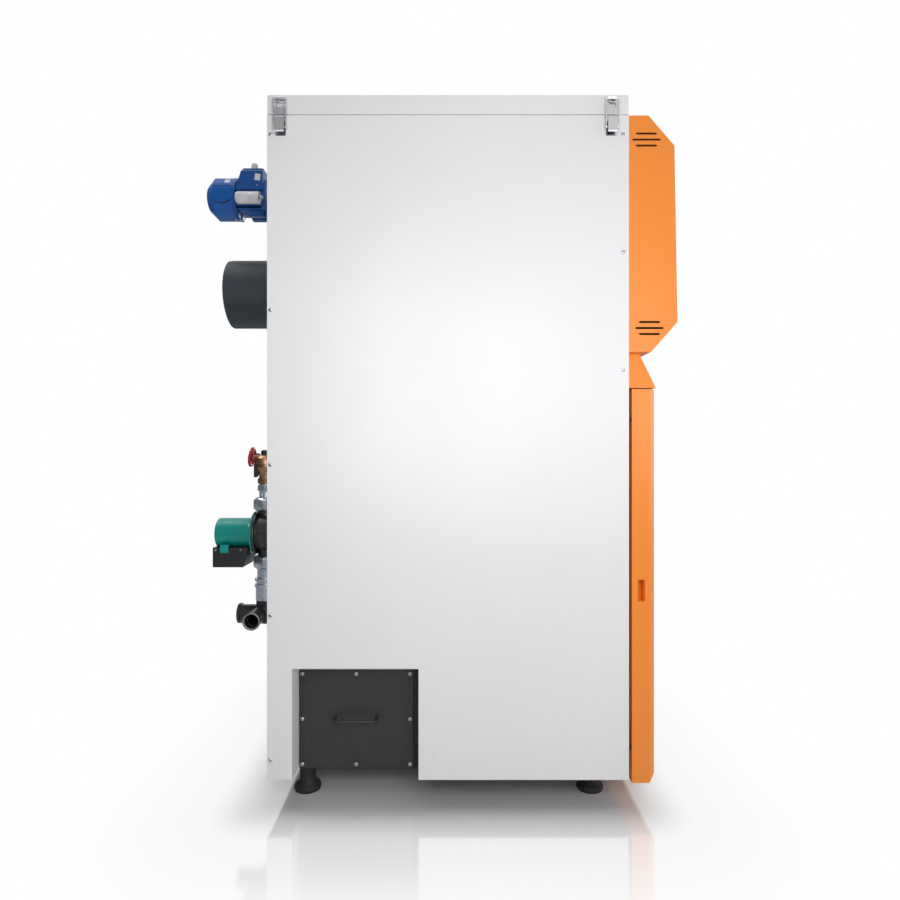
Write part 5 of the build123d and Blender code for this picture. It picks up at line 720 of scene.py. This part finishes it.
def hopper_lid():
    """Lid whose skirt ends a little above the casing, so that a shadow line shows between them."""
    gap = 0.0011
    skirt = 0.0005
    rest_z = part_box("left_side_panel")[1].z
    lid = dressed("hopper_lid", 0.0007)
    for vertex in lid.data.vertices:
        if vertex.co.z < rest_z + skirt:
            vertex.co.z += gap


def side_screws():
    """Pan head screws of the side panels and of the ash cover."""
    face_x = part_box("right_side_panel")[1].x
    cover_x = -0.2195
    bm = bmesh.new()
    for low, high in islands("casing_screws"):
        y = (low.y + high.y) / 2
        z = (low.z + high.z) / 2
        radius = (high.y - low.y) / 2
        if high.x > face_x - 0.001:
            where = aim((face_x, y, z), (1, 0, 0))
            tall = high.x - face_x
        elif low.x < -face_x:
            where = aim((-face_x, y, z), (-1, 0, 0))
            tall = -face_x - low.x
        else:
            where = aim((cover_x, y, z), (-1, 0, 0))
            tall = cover_x - low.x
        turn = Matrix.Rotation((y * 37 + z * 91) % 3.1, 4, "Z")
        pan_head(bm, where @ turn, radius, tall)
    keep("casing_screw_heads", bm, "root", "zinc", ("casing_screws",), 30)


def feet():
    """Moulded discs with wide ribbed necks, on threaded stems with nuts."""
    neck = 0.0165
    stem = 0.008
    bore = 0.0076
    pads = bmesh.new()
    steel = bmesh.new()
    for low, high in islands("levelling_feet"):
        where = Matrix.Translation(((low.x + high.x) / 2, (low.y + high.y) / 2, 0.0))
        r = (high.x - low.x) / 2
        turned(pads, where, [
            (0.0, 0.0), (r * 0.9, 0.0), (r * 0.97, 0.0008), (r, 0.003), (r, 0.0085), (r * 0.96, 0.0108),
            (r * 0.9, 0.012), (neck + 0.0045, 0.0155), (neck + 0.0016, 0.0185), (neck, 0.022),
            (neck, 0.034), (neck - 0.0012, 0.0346), (neck - 0.0012, 0.0364), (neck, 0.037),
            (neck, 0.0485), (neck - 0.001, 0.050), (0.0, 0.050),
        ], 56, closed=False)
        threaded(steel, where, stem, 0.0009, 0.00175, 0.049, high.z - 0.0005, 28)
        hexagon_nut(steel, where, 0.028, 0.050, 0.058, bore)
        hexagon_nut(steel, where, 0.0196, high.z - 0.008, high.z, bore)
    keep("foot_pads", pads, "root", "black_rubber", ("levelling_feet",), 30)
    keep("foot_stems", steel, "root", "zinc", (), 30)


def latch_rivets():
    """Dome rivets, one on each latch base and two on each keeper."""
    face_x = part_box("left_side_panel")[0].x - 0.0012
    on_base = ((0.0, 0.004),)
    on_keeper = ((-0.0065, 0.0), (0.0065, 0.0))
    dome = [(0.0, -0.0006), (0.002, -0.0006), (0.002, 0.0003), (0.0014, 0.0008), (0.0, 0.001)]
    bm = bmesh.new()
    for node, places in (("latch_bases", on_base), ("latch_keepers", on_keeper)):
        for low, high in islands(node):
            if high.z - low.z < 0.01:
                continue
            y = (low.y + high.y) / 2
            for dy, dz in places:
                where = aim((face_x, y + dy, low.z + 0.006 + dz), (-1, 0, 0))
                turned(bm, where, dome, 20, closed=False)
    keep("latch_rivets", bm, "root", "zinc", (), 40)


def panel_marks():
    """Pointer of the menu knob and line of the power rocker."""
    panel_z = 1.239
    bm = bmesh.new()
    low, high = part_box("control_knob")
    knob = aim((0.070, low.y, panel_z), (0.0, -0.999856, 0.016995))
    slab(bm, (-0.0006, 0.004, -0.0004), (0.0006, 0.0115, 0.0002), knob)
    keep("knob_pointer", bm, "menu_knob", "casing_white", (), 30)
    bm = bmesh.new()
    low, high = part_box("mains_rocker")
    rocker = aim((-0.070, low.y + 0.0004, panel_z), (0.0, -1.0, 0.0))
    slab(bm, (-0.0005, 0.004, -0.001), (0.0005, 0.0075, 0.0001), rocker)
    keep("rocker_mark", bm, "power_rocker", "casing_white", (), 30)


# Draught fan motor

fan_z = middle_of("fan_motor_plate").z
cowl_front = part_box("motor_cowl")[0].y
cowl_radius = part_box("motor_cowl")[1].x
rib_start = 0.0035
rib_length = 0.044


def cowl_point(angle, along, rise):
    """Point at an angle upwards from the -X side, a way along the motor cowl and a rise over it."""
    radius = cowl_radius + rise
    return (-radius * math.cos(angle), cowl_front + along, fan_z + radius * math.sin(angle))


def cowl_line(degrees, rise):
    """Straight line along the cowl at one angle."""
    angle = math.radians(degrees)
    return [cowl_point(angle, rib_start + rib_length * k / 8, rise) for k in range(9)]


def cowl_ribs():
    """Rolled edge of the fan cover and its four pressed ribs."""
    rise = -0.0003
    roll = 0.001
    edge = []
    for k in range(8):
        a = k * math.pi / 4
        edge.append((cowl_radius + rise + roll * math.cos(a), roll * math.sin(a)))
    bm = bmesh.new()
    turned(bm, aim((0.0, cowl_front + 0.0015, fan_z), (0.0, 1.0, 0.0)), edge, 96)
    for degrees in (46, -46, 134, 226):
        swept(bm, cowl_line(degrees, rise), 0.0011, 10)
    keep("cowl_ribs", bm, "root", "motor_casting", (), 50)


def cowl_painted_shade():
    """Painted shade and reflection on the fan cover: dark strips, a sagging curve below its middle and a
    straight line above it.
    """
    rise = -0.0005
    curve = []
    for k in range(17):
        t = k / 16
        angle = math.radians(-17.5 - 10.5 * math.sin(math.pi * t) ** 0.8)
        curve.append(cowl_point(angle, 0.0055 + 0.0415 * t, rise))
    bm = bmesh.new()
    swept(bm, curve, 0.0016, 10)
    swept(bm, cowl_line(20.0, rise), 0.0011, 10)
    keep("cowl_painted_shade", bm, "root", "black_plastic", (), 50)


def cowl_screws():
    """Three screws round the fan cover."""
    bm = bmesh.new()
    for degrees in (100, 190, 278):
        a = math.radians(degrees)
        out = (-math.cos(a), 0.0, math.sin(a))
        where = aim(cowl_point(a, 0.0055, -0.0001), out, (0.0, 1.0, 0.0))
        pan_head(bm, where, 0.0028, 0.0018)
    keep("cowl_screws", bm, "root", "zinc", (), 30)


def curved_label(name, start, end, low, high, rise):
    """Blank sticker on the round of the cowl."""
    thick = 0.0004
    bm = bmesh.new()
    rows = []
    for k in range(7):
        angle = math.radians(low + (high - low) * k / 6)
        rows.append([cowl_point(angle, along, r) for r in (rise - thick, rise) for along in (start, end)])
    verts = [[bm.verts.new(p) for p in row] for row in rows]
    for a, b in zip(verts, verts[1:]):
        for i, j in ((0, 1), (1, 3), (3, 2), (2, 0)):
            bm.faces.new((a[i], a[j], b[j], b[i]))
    for row in (verts[0], verts[-1]):
        bm.faces.new((row[0], row[1], row[3], row[2]))
    keep(name, bm, "root", "grey_plastic", (), 40)


def terminal_box_label():
    """Blank sticker on the side of the motor's terminal box, set a little askew."""
    low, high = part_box("terminal_box")
    askew = Matrix.Rotation(math.radians(-8), 4, "Z")
    face = aim((low.x, low.y + 0.0125, low.z + 0.0295), (-1.0, 0.0, 0.0)) @ askew
    bm = bmesh.new()
    slab(bm, (-0.0065, -0.0078, -0.0002), (0.0065, 0.0078, 0.0002), face)
    keep("terminal_box_label", bm, "root", "grey_plastic", (), 30)


def terminal_box_lid():
    """Side screw and lid screws of the motor's terminal box, and its round plug."""
    low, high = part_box("terminal_box")
    lid_z = low.z + 0.052
    bm = bmesh.new()
    pan_head(bm, aim((low.x, low.y + 0.0135, low.z + 0.0105), (-1.0, 0.0, 0.0)), 0.0016, 0.0012)
    for x in (-0.0355, 0.0355):
        for y in (low.y + 0.0055, low.y + 0.0445):
            pan_head(bm, aim((x, y, lid_z), (0.0, 0.0, 1.0)), 0.0026, 0.0016)
    keep("terminal_box_screws", bm, "root", "zinc", (), 30)
    bm = bmesh.new()
    turned(bm, aim((-0.022, low.y + 0.026, lid_z), (0.0, 0.0, 1.0)), [
        (0.0, 0.0), (0.0098, 0.0), (0.0098, 0.004), (0.0088, 0.0052), (0.0078, 0.0056), (0.0078, 0.012),
        (0.0076, 0.0145), (0.0066, 0.0175), (0.0048, 0.0192), (0.0026, 0.0199), (0.0, 0.0201),
    ], 40, closed=False)
    keep("terminal_box_plug", bm, "root", "grey_plastic", (), 40)


def capacitor():
    """Pale can with a crimped end, a waist seam and a stud, held by its strap."""
    r = 0.014
    waist = r - 0.0004
    stud = 0.008
    strap_half = 0.005
    low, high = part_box("motor_capacitor")
    x = low.x + r
    y = low.y + stud
    z = (low.z + high.z) / 2
    where = aim((x, y, z), (0.0, 1.0, 0.0))
    bm = bmesh.new()
    turned(bm, where, [
        (0.0, 0.0035), (0.0108, 0.0035), (0.0118, 0.0022), (0.0124, 0.0004), (0.0134, 0.0), (r, 0.0007),
        (r, 0.0236), (waist, 0.0242), (waist, 0.0252), (r, 0.0258), (r, 0.0500), (r - 0.0010, 0.0530),
        (r - 0.0034, 0.0551), (r - 0.0064, 0.0560), (0.0, 0.0560),
    ], 64, closed=False)
    keep("capacitor_can", bm, "root", "grey_plastic", ("motor_capacitor",), 40)
    bm = bmesh.new()
    turned(bm, where, [
        (0.0, -0.0082), (0.0026, -0.0082), (0.003, -0.0078), (0.003, 0.0036), (0.0, 0.0036),
    ], 24, closed=False)
    hexagon_nut(bm, where, 0.0085, -0.0052, 0.0, 0.0029)
    keep("capacitor_stud", bm, "root", "zinc", (), 30)
    bm = bmesh.new()
    slab(bm, (x + r - 0.0008, y + 0.020, z - strap_half), (x + 0.022, y + 0.032, z + strap_half))
    keep("capacitor_strap", bm, "root", "motor_casting", (), 30, 0.0005)


def standoff_bolts():
    """Hexagon heads on the four bolts between the motor flange and its plate."""
    reach = 0.038
    flange_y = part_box("fan_motor_plate")[1].y + 0.006
    bm = bmesh.new()
    for degrees in (45, 135, 225, 315):
        a = math.radians(degrees)
        place = (reach * math.cos(a), flange_y, fan_z + reach * math.sin(a))
        hexagon_head(bm, aim(place, (0.0, 1.0, 0.0)), 0.008, 0.004)
    keep("motor_flange_bolts", bm, "root", "zinc", (), 30)


def flue_bead():
    """Weld bead round the flue collar and its lengthwise seam."""
    flue_z = middle_of("flue_outlet").z
    foot_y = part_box("flue_outlet")[0].y + 0.020
    foot = 0.0806
    skin = 0.0798
    seam_angle = 1.9
    bm = bmesh.new()
    ring = []
    for k in range(121):
        a = 2 * math.pi * k / 120
        ring.append((foot * math.cos(a), foot_y - 0.0008, flue_z + foot * math.sin(a)))
    swept(bm, ring, 0.0016, 8, ends=False)
    seam_x = skin * math.cos(seam_angle)
    seam_z = flue_z + skin * math.sin(seam_angle)
    swept(bm, [(seam_x, foot_y + 0.15 * k / 12, seam_z) for k in range(13)], 0.0009, 8)
    keep("flue_beads", bm, "root", "slate_paint", (), 50)


# Return line

pump_z = middle_of("pump_volute").z
pipe_y = 0.381
tee_low, tee_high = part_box("pipe_tee")
tee_z = tee_low.z + tee_high.x
branch_y = pipe_y + 0.013


def pump_screws():
    """Four screws of the pump's flange and two on each side of its terminal box."""
    reach = 0.0465
    flange_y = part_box("pump_motor")[0].y + 0.0038
    bm = bmesh.new()
    for number in range(4):
        a = math.radians(152.0 + 90.0 * number)
        place = (reach * math.cos(a), flange_y, pump_z + reach * math.sin(a))
        socket_head(bm, aim(place, (0.0, 1.0, 0.0)), 0.0038, 0.0042)
    low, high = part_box("pump_terminal_box")
    z = high.z - 0.0055
    for y in (low.y + 0.0175, high.y - 0.0095):
        pan_head(bm, aim((low.x, y, z), (-1.0, 0.0, 0.0)), 0.0022, 0.0012)
        pan_head(bm, aim((high.x, y, z), (1.0, 0.0, 0.0)), 0.0022, 0.0012)
    keep("pump_screws", bm, "root", "zinc", (), 30)


def pump_box_relief():
    """Raised arc on the side of the pump's terminal box."""
    reach = 0.0095
    low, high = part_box("pump_terminal_box")
    arc = []
    for k in range(13):
        a = math.radians(20 + 140 * k / 12)
        arc.append((low.x, low.y + 0.0335 + reach * math.cos(a), low.z + 0.016 + reach * math.sin(a)))
    bm = bmesh.new()
    swept(bm, arc, 0.0012, 8)
    keep("pump_box_relief", bm, "root", "black_plastic", (), 50)


def pump_vent_plug():
    """Slotted vent plug in the middle of the pump's motor."""
    where = aim((0.0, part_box("pump_motor")[1].y - 0.0003, pump_z), (0.0, 1.0, 0.0))
    bm = bmesh.new()
    turned(bm, where, [
        (0.0, 0.0), (0.0105, 0.0), (0.0105, 0.0022), (0.0098, 0.003),
        (0.0074, 0.003), (0.0066, 0.0022), (0.0, 0.0022),
    ], 48, closed=False)
    slab(bm, (-0.0066, -0.0009, 0.0014), (0.0066, 0.0009, 0.0030), where)
    keep("pump_vent_plug", bm, "root", "brass", (), 30)


def pump_knob():
    """Ribbed speed knob with its pointer line."""
    seat_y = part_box("pump_terminal_box")[1].y
    ribs = 18
    rib_height = 0.0004
    low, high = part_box("pump_speed_knob")
    r = (high.x - low.x) / 2
    tall = high.y - seat_y
    where = aim(((low.x + high.x) / 2, seat_y, (low.z + high.z) / 2), (0.0, 1.0, 0.0))
    bm = bmesh.new()
    steps = 72
    rings = []
    for along, grow in ((0.0, 0.97), (0.0008, 1.0), (tall * 0.7, 0.96), (tall * 0.86, 0.88), (tall, 0.72)):
        ring = []
        for k in range(steps):
            a = 2 * math.pi * k / steps
            ripple = rib_height * math.cos(ribs * a) if grow > 0.9 else 0.0
            ring.append(around(bm, where, r * grow - rib_height + ripple, a, along))
        rings.append(ring)
    joined(bm, rings)
    bm.faces.new(rings[0][::-1])
    bm.faces.new(rings[-1])
    keep("pump_knob_cap", bm, "pump_knob", "black_plastic", ("pump_speed_knob",), 40)
    bm = bmesh.new()
    slab(bm, (-0.0006, 0.001, tall - 0.0003), (0.0006, r * 0.66, tall + 0.0002), where)
    keep("pump_knob_pointer", bm, "pump_knob", "casing_white", (), 30)


def pipe_threads():
    """Threads that show beside a nut, and inside the open ports of the tee and the flow socket."""
    depth = 0.0009
    pitch = 0.0023
    bm = bmesh.new()
    upright = aim((0.0, pipe_y, 0.0), (0.0, 0.0, 1.0))
    port_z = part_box("pump_volute")[1].z
    threaded(bm, upright, 0.0173, depth, pitch, port_z + 0.0175, port_z + 0.0315, 48, 0.0150)
    keep("pipe_threads", bm, "root", "galvanised", (), 50)
    bm = bmesh.new()
    for place, inward in (
        ((0.0, tee_high.y - 0.0005, tee_z), (0.0, -1.0, 0.0)),
        ((tee_low.x + 0.0005, branch_y, tee_z), (1.0, 0.0, 0.0)),
        ((-0.110, 0.3245, 0.850), (0.0, -1.0, 0.0)),
    ):
        threaded(bm, aim(place, inward), 0.0156, -depth, pitch, 0.0005, 0.0185, 48, 0.0167)
    keep("port_threads", bm, "root", "cast_black", (), 50)


def valve():
    """The brass valve, with its cap and side cover in black plastic."""
    low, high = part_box("valve_body")
    body = dressed("valve_body", 0.0007)
    body.data.materials.append(finishes["black_plastic"])
    for face in body.data.polygons:
        middle = face.center
        reach = math.hypot(middle.x, middle.y - pipe_y)
        cap = middle.z > high.z - 0.0118
        beside = abs(middle.x) < 0.0075 and reach > 0.0171 and middle.y > pipe_y + 0.016
        cover = beside and 0.0155 < middle.z - low.z < 0.0482
        belly = reach < 0.0232 and 0.035 < middle.z - low.z < 0.0435
        if cap or (cover and not belly):
            face.material_index = 1


def tee_rims():
    """Machined faces at the open ports of the tee."""
    bore = 0.0166
    face = 0.0007
    bm = bmesh.new()
    side = aim((tee_low.x + 0.0002, branch_y, tee_z), (-1.0, 0.0, 0.0))
    rear = aim((0.0, tee_high.y - 0.0002, tee_z), (0.0, 1.0, 0.0))
    for where, outer, edge in ((side, 0.0202, 0.0198), (rear, 0.0232, 0.0228)):
        turned(bm, where, [
            (bore, 0.0), (outer, 0.0), (outer, 0.0004), (edge, face), (0.0170, face), (bore, 0.0004),
        ], 64)
    keep("tee_rims", bm, "root", "grey_steel", (), 40)


def recess_shade_strip():
    """Black strip between the ash cover and the front edge of its recess, standing in for the shade in
    that gap: painted shade.
    """
    low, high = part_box("ash_cover")
    bm = bmesh.new()
    slab(bm, (-0.2164, low.y - 0.0136, low.z), (-0.2132, low.y - 0.0003, high.z - 0.0006))
    keep("recess_shade_strip", bm, "root", "black_rubber", (), 40)


def wheel_rim(bm, where):
    """Rim of the handwheel, a bar bent to a ring with ten lobes."""
    rim_radius = 0.0202
    bar = 0.0037
    steps = 120
    sides = 12
    rings = []
    for k in range(steps):
        a = 2 * math.pi * k / steps
        lobe = 0.0011 * math.cos(10 * a)
        ring = []
        for j in range(sides):
            b = 2 * math.pi * j / sides
            radius = rim_radius + lobe * 0.6 + (bar + lobe * 0.4) * math.cos(b)
            ring.append(around(bm, where, radius, a, bar * math.sin(b)))
        rings.append(ring)
    joined(bm, rings + rings[:1])


def handwheel():
    """Lobed rim, five spokes, hub and nut of the valve's wheel."""
    tilt = math.radians(8.0)
    hub_z = middle_of("handwheel").z
    where = aim((0.0, 0.416, hub_z), (0.0, math.cos(tilt), math.sin(tilt)))
    bm = bmesh.new()
    wheel_rim(bm, where)
    spoke = [(0.005, -0.0032), (0.0185, -0.0022), (0.0185, 0.0022), (0.005, 0.0032)]
    for k in range(5):
        turn = Matrix.Rotation(2 * math.pi * k / 5 + math.pi / 2, 4, "Z")
        prism(bm, where @ turn, spoke, -0.0018, 0.0018)
    turned(bm, where, [
        (0.0, -0.005), (0.0072, -0.005), (0.0078, -0.004), (0.0078, 0.0036), (0.0068, 0.005), (0.0, 0.005),
    ], 40, closed=False)
    keep("valve_wheel", bm, "valve_wheel", "red_plastic", ("handwheel",), 45, 0.0005)
    bm = bmesh.new()
    hexagon_nut(bm, where, 0.0095, 0.005, 0.0075, 0.0028)
    turned(bm, where, [
        (0.0, -0.0185), (0.003, -0.0185), (0.003, 0.0078), (0.0024, 0.0086), (0.0, 0.0088),
    ], 24, closed=False)
    keep("wheel_nut", bm, "valve_wheel", "brass", (), 30)


for soft_node, soft in soft_edges.items():
    dressed(soft_node, soft)
hopper_lid()
side_screws()
feet()
latch_rivets()
panel_marks()
cowl_ribs()
cowl_painted_shade()
cowl_screws()
terminal_box_label()
curved_label("cowl_label", 0.0085, 0.021, 31.0, 54.0, 0.0003)
terminal_box_lid()
capacitor()
standoff_bolts()
flue_bead()
pump_screws()
pump_box_relief()
pump_vent_plug()
pump_knob()
pipe_threads()
valve()
tee_rims()
recess_shade_strip()
handwheel()


# Floor, light and camera

def shader_mix(tree, fac, low, high):
    """Mixes two shaders."""
    node = tree.nodes.new("ShaderNodeMixShader")
    tree.links.new(fac, node.inputs[0])
    tree.links.new(low, node.inputs[1])
    tree.links.new(high, node.inputs[2])
    return node.outputs[0]


def distance_outside(g):
    """Distance along the floor from the rectangle under the boiler, 0 inside it."""
    split = g.tree.nodes.new("ShaderNodeSeparateXYZ")
    g.link(g.place, split.inputs[0])
    outside = g.tree.nodes.new("ShaderNodeCombineXYZ")
    for axis, middle, half in (("X", 0.0, 0.28), ("Y", -0.065, 0.37)):
        away = g.reckon("ABSOLUTE", g.reckon("ADD", split.outputs[axis], -middle))
        beyond = g.reckon("MAXIMUM", g.reckon("ADD", away, -half), 0.0)
        g.link(beyond, outside.inputs[axis])
    length = g.tree.nodes.new("ShaderNodeVectorMath")
    length.operation = "LENGTH"
    g.link(outside.outputs[0], length.inputs[0])
    return length.outputs["Value"]


def floor_finish():
    """Pale floor, lit and shadowed close to the boiler and white further out, with a gloss that fades."""
    g = Graph("floor_pale")
    cloud = g.spread(g.noise(3.0, 3.0), noise_low, noise_high)
    g.put("Base Color", g.blend(cloud, tone(226, 227, 229), tone(234, 235, 236)))
    g.put("Roughness", 0.6)
    g.put("Specular IOR Level", 0.0)
    white = g.tree.nodes.new("ShaderNodeEmission")
    white.inputs["Color"].default_value = (1.0, 1.0, 1.0, 1.0)
    gloss = g.tree.nodes.new("ShaderNodeBsdfGlossy")
    gloss.inputs["Roughness"].default_value = 0.09
    camera_ray = g.tree.nodes.new("ShaderNodeLightPath").outputs["Is Camera Ray"]
    distance = distance_outside(g)
    whiteness = g.times(g.smooth(distance, -0.01, 0.12), camera_ray)
    ground = shader_mix(g.tree, whiteness, g.shader.outputs[0], white.outputs[0])
    mirror = g.times(g.times(g.smooth(distance, 0.42, 0.05), 0.34), camera_ray)
    g.link(shader_mix(g.tree, mirror, ground, gloss.outputs[0]), g.out.inputs[0])
    return g.material


def add_floor():
    """Round floor that reaches beyond the picture."""
    mesh = bpy.data.meshes.new("floor")
    bm = bmesh.new()
    bmesh.ops.create_circle(bm, cap_ends=True, segments=96, radius=14.0)
    bm.to_mesh(mesh)
    bm.free()
    floor = bpy.data.objects.new("floor", mesh)
    bpy.context.scene.collection.objects.link(floor)
    floor.location.z = cad_box[0].z
    mesh.materials.append(floor_finish())


def area_light(name, place, target, width, height, power):
    """Lamp with a flat face turned to a target, unseen by the camera."""
    data = bpy.data.lights.new(name, "AREA")
    data.shape = "RECTANGLE"
    data.size = width
    data.size_y = height
    data.energy = power
    lamp = bpy.data.objects.new(name, data)
    bpy.context.scene.collection.objects.link(lamp)
    lamp.location = place
    lamp.rotation_euler = (Vector(target) - Vector(place)).to_track_quat("-Z", "Y").to_euler()
    lamp.visible_camera = False


def background(tree, colour, strength):
    """Even light from all round."""
    node = tree.nodes.new("ShaderNodeBackground")
    node.inputs["Color"].default_value = colour
    node.inputs["Strength"].default_value = strength
    return node.outputs[0]


def behind(tree):
    """1 in the directions behind the boiler, 0 in front of it, with a soft border."""
    place = tree.nodes.new("ShaderNodeTexCoord")
    nearer = tree.nodes.new("ShaderNodeMath")
    nearer.operation = "MINIMUM"
    for index, direction in enumerate(((0.0, 1.0, 0.0), (-0.45, 1.0, 0.0))):
        toward = tree.nodes.new("ShaderNodeVectorMath")
        toward.operation = "DOT_PRODUCT"
        tree.links.new(place.outputs["Generated"], toward.inputs[0])
        toward.inputs[1].default_value = direction
        tree.links.new(toward.outputs["Value"], nearer.inputs[index])
    border = tree.nodes.new("ShaderNodeMapRange")
    border.interpolation_type = "SMOOTHSTEP"
    border.inputs["From Min"].default_value = 0.08
    border.inputs["From Max"].default_value = 0.34
    tree.links.new(nearer.outputs[0], border.inputs["Value"])
    return border.outputs[0]


def add_world():
    """White for the camera, and a faint even light on every face.

    Mirrors see a room that is white in front of the boiler and dim behind it.
    """
    world = bpy.data.worlds.new("studio")
    bpy.context.scene.world = world
    world.use_nodes = True
    tree = world.node_tree
    tree.nodes.clear()
    out = tree.nodes.new("ShaderNodeOutputWorld")
    ray = tree.nodes.new("ShaderNodeLightPath")
    white = background(tree, (1.0, 1.0, 1.0, 1.0), 1.0)
    soft = background(tree, (0.95, 0.97, 1.0, 1.0), 0.12)
    dark = background(tree, (0.9, 0.95, 1.0, 1.0), 0.14)
    room = shader_mix(tree, behind(tree), white, dark)
    mirrors = tree.nodes.new("ShaderNodeMath")
    mirrors.operation = "MAXIMUM"
    tree.links.new(ray.outputs["Is Glossy Ray"], mirrors.inputs[0])
    tree.links.new(ray.outputs["Is Transmission Ray"], mirrors.inputs[1])
    seen = shader_mix(tree, mirrors.outputs[0], soft, room)
    seen = shader_mix(tree, ray.outputs["Is Camera Ray"], seen, white)
    tree.links.new(seen, out.inputs[0])


def add_camera():
    """Near camera at half height, level and square to the left side."""
    data = bpy.data.cameras.new("camera")
    data.lens = 26.0
    data.sensor_width = 36.0
    camera = bpy.data.objects.new("camera", data)
    bpy.context.scene.collection.objects.link(camera)
    camera.location = (-1.580, -0.065, 0.718)
    camera.rotation_euler = (math.radians(90), 0.0, math.radians(-90))
    bpy.context.scene.camera = camera


add_floor()
area_light("side_key", (-1.40, -0.19, 0.94), (-0.28, -0.19, 0.94), 1.2, 0.8, 11.2)
area_light("front_key", (-0.6, -2.8, 1.3), (0.0, -0.45, 0.8), 2.6, 2.2, 30.0)
area_light("rear_key", (0.2, 1.9, 3.0), (0.0, 0.3, 0.8), 1.4, 1.2, 26.0)
area_light("far_key", (2.3, -0.2, 1.3), (0.28, -0.1, 0.8), 1.2, 1.4, 25.0)
area_light("overhead", (-0.3, 0.0, 3.0), (0.0, 0.0, 0.0), 2.0, 2.0, 11.0)
add_world()
add_camera()
bpy.context.scene.view_settings.view_transform = "Standard"
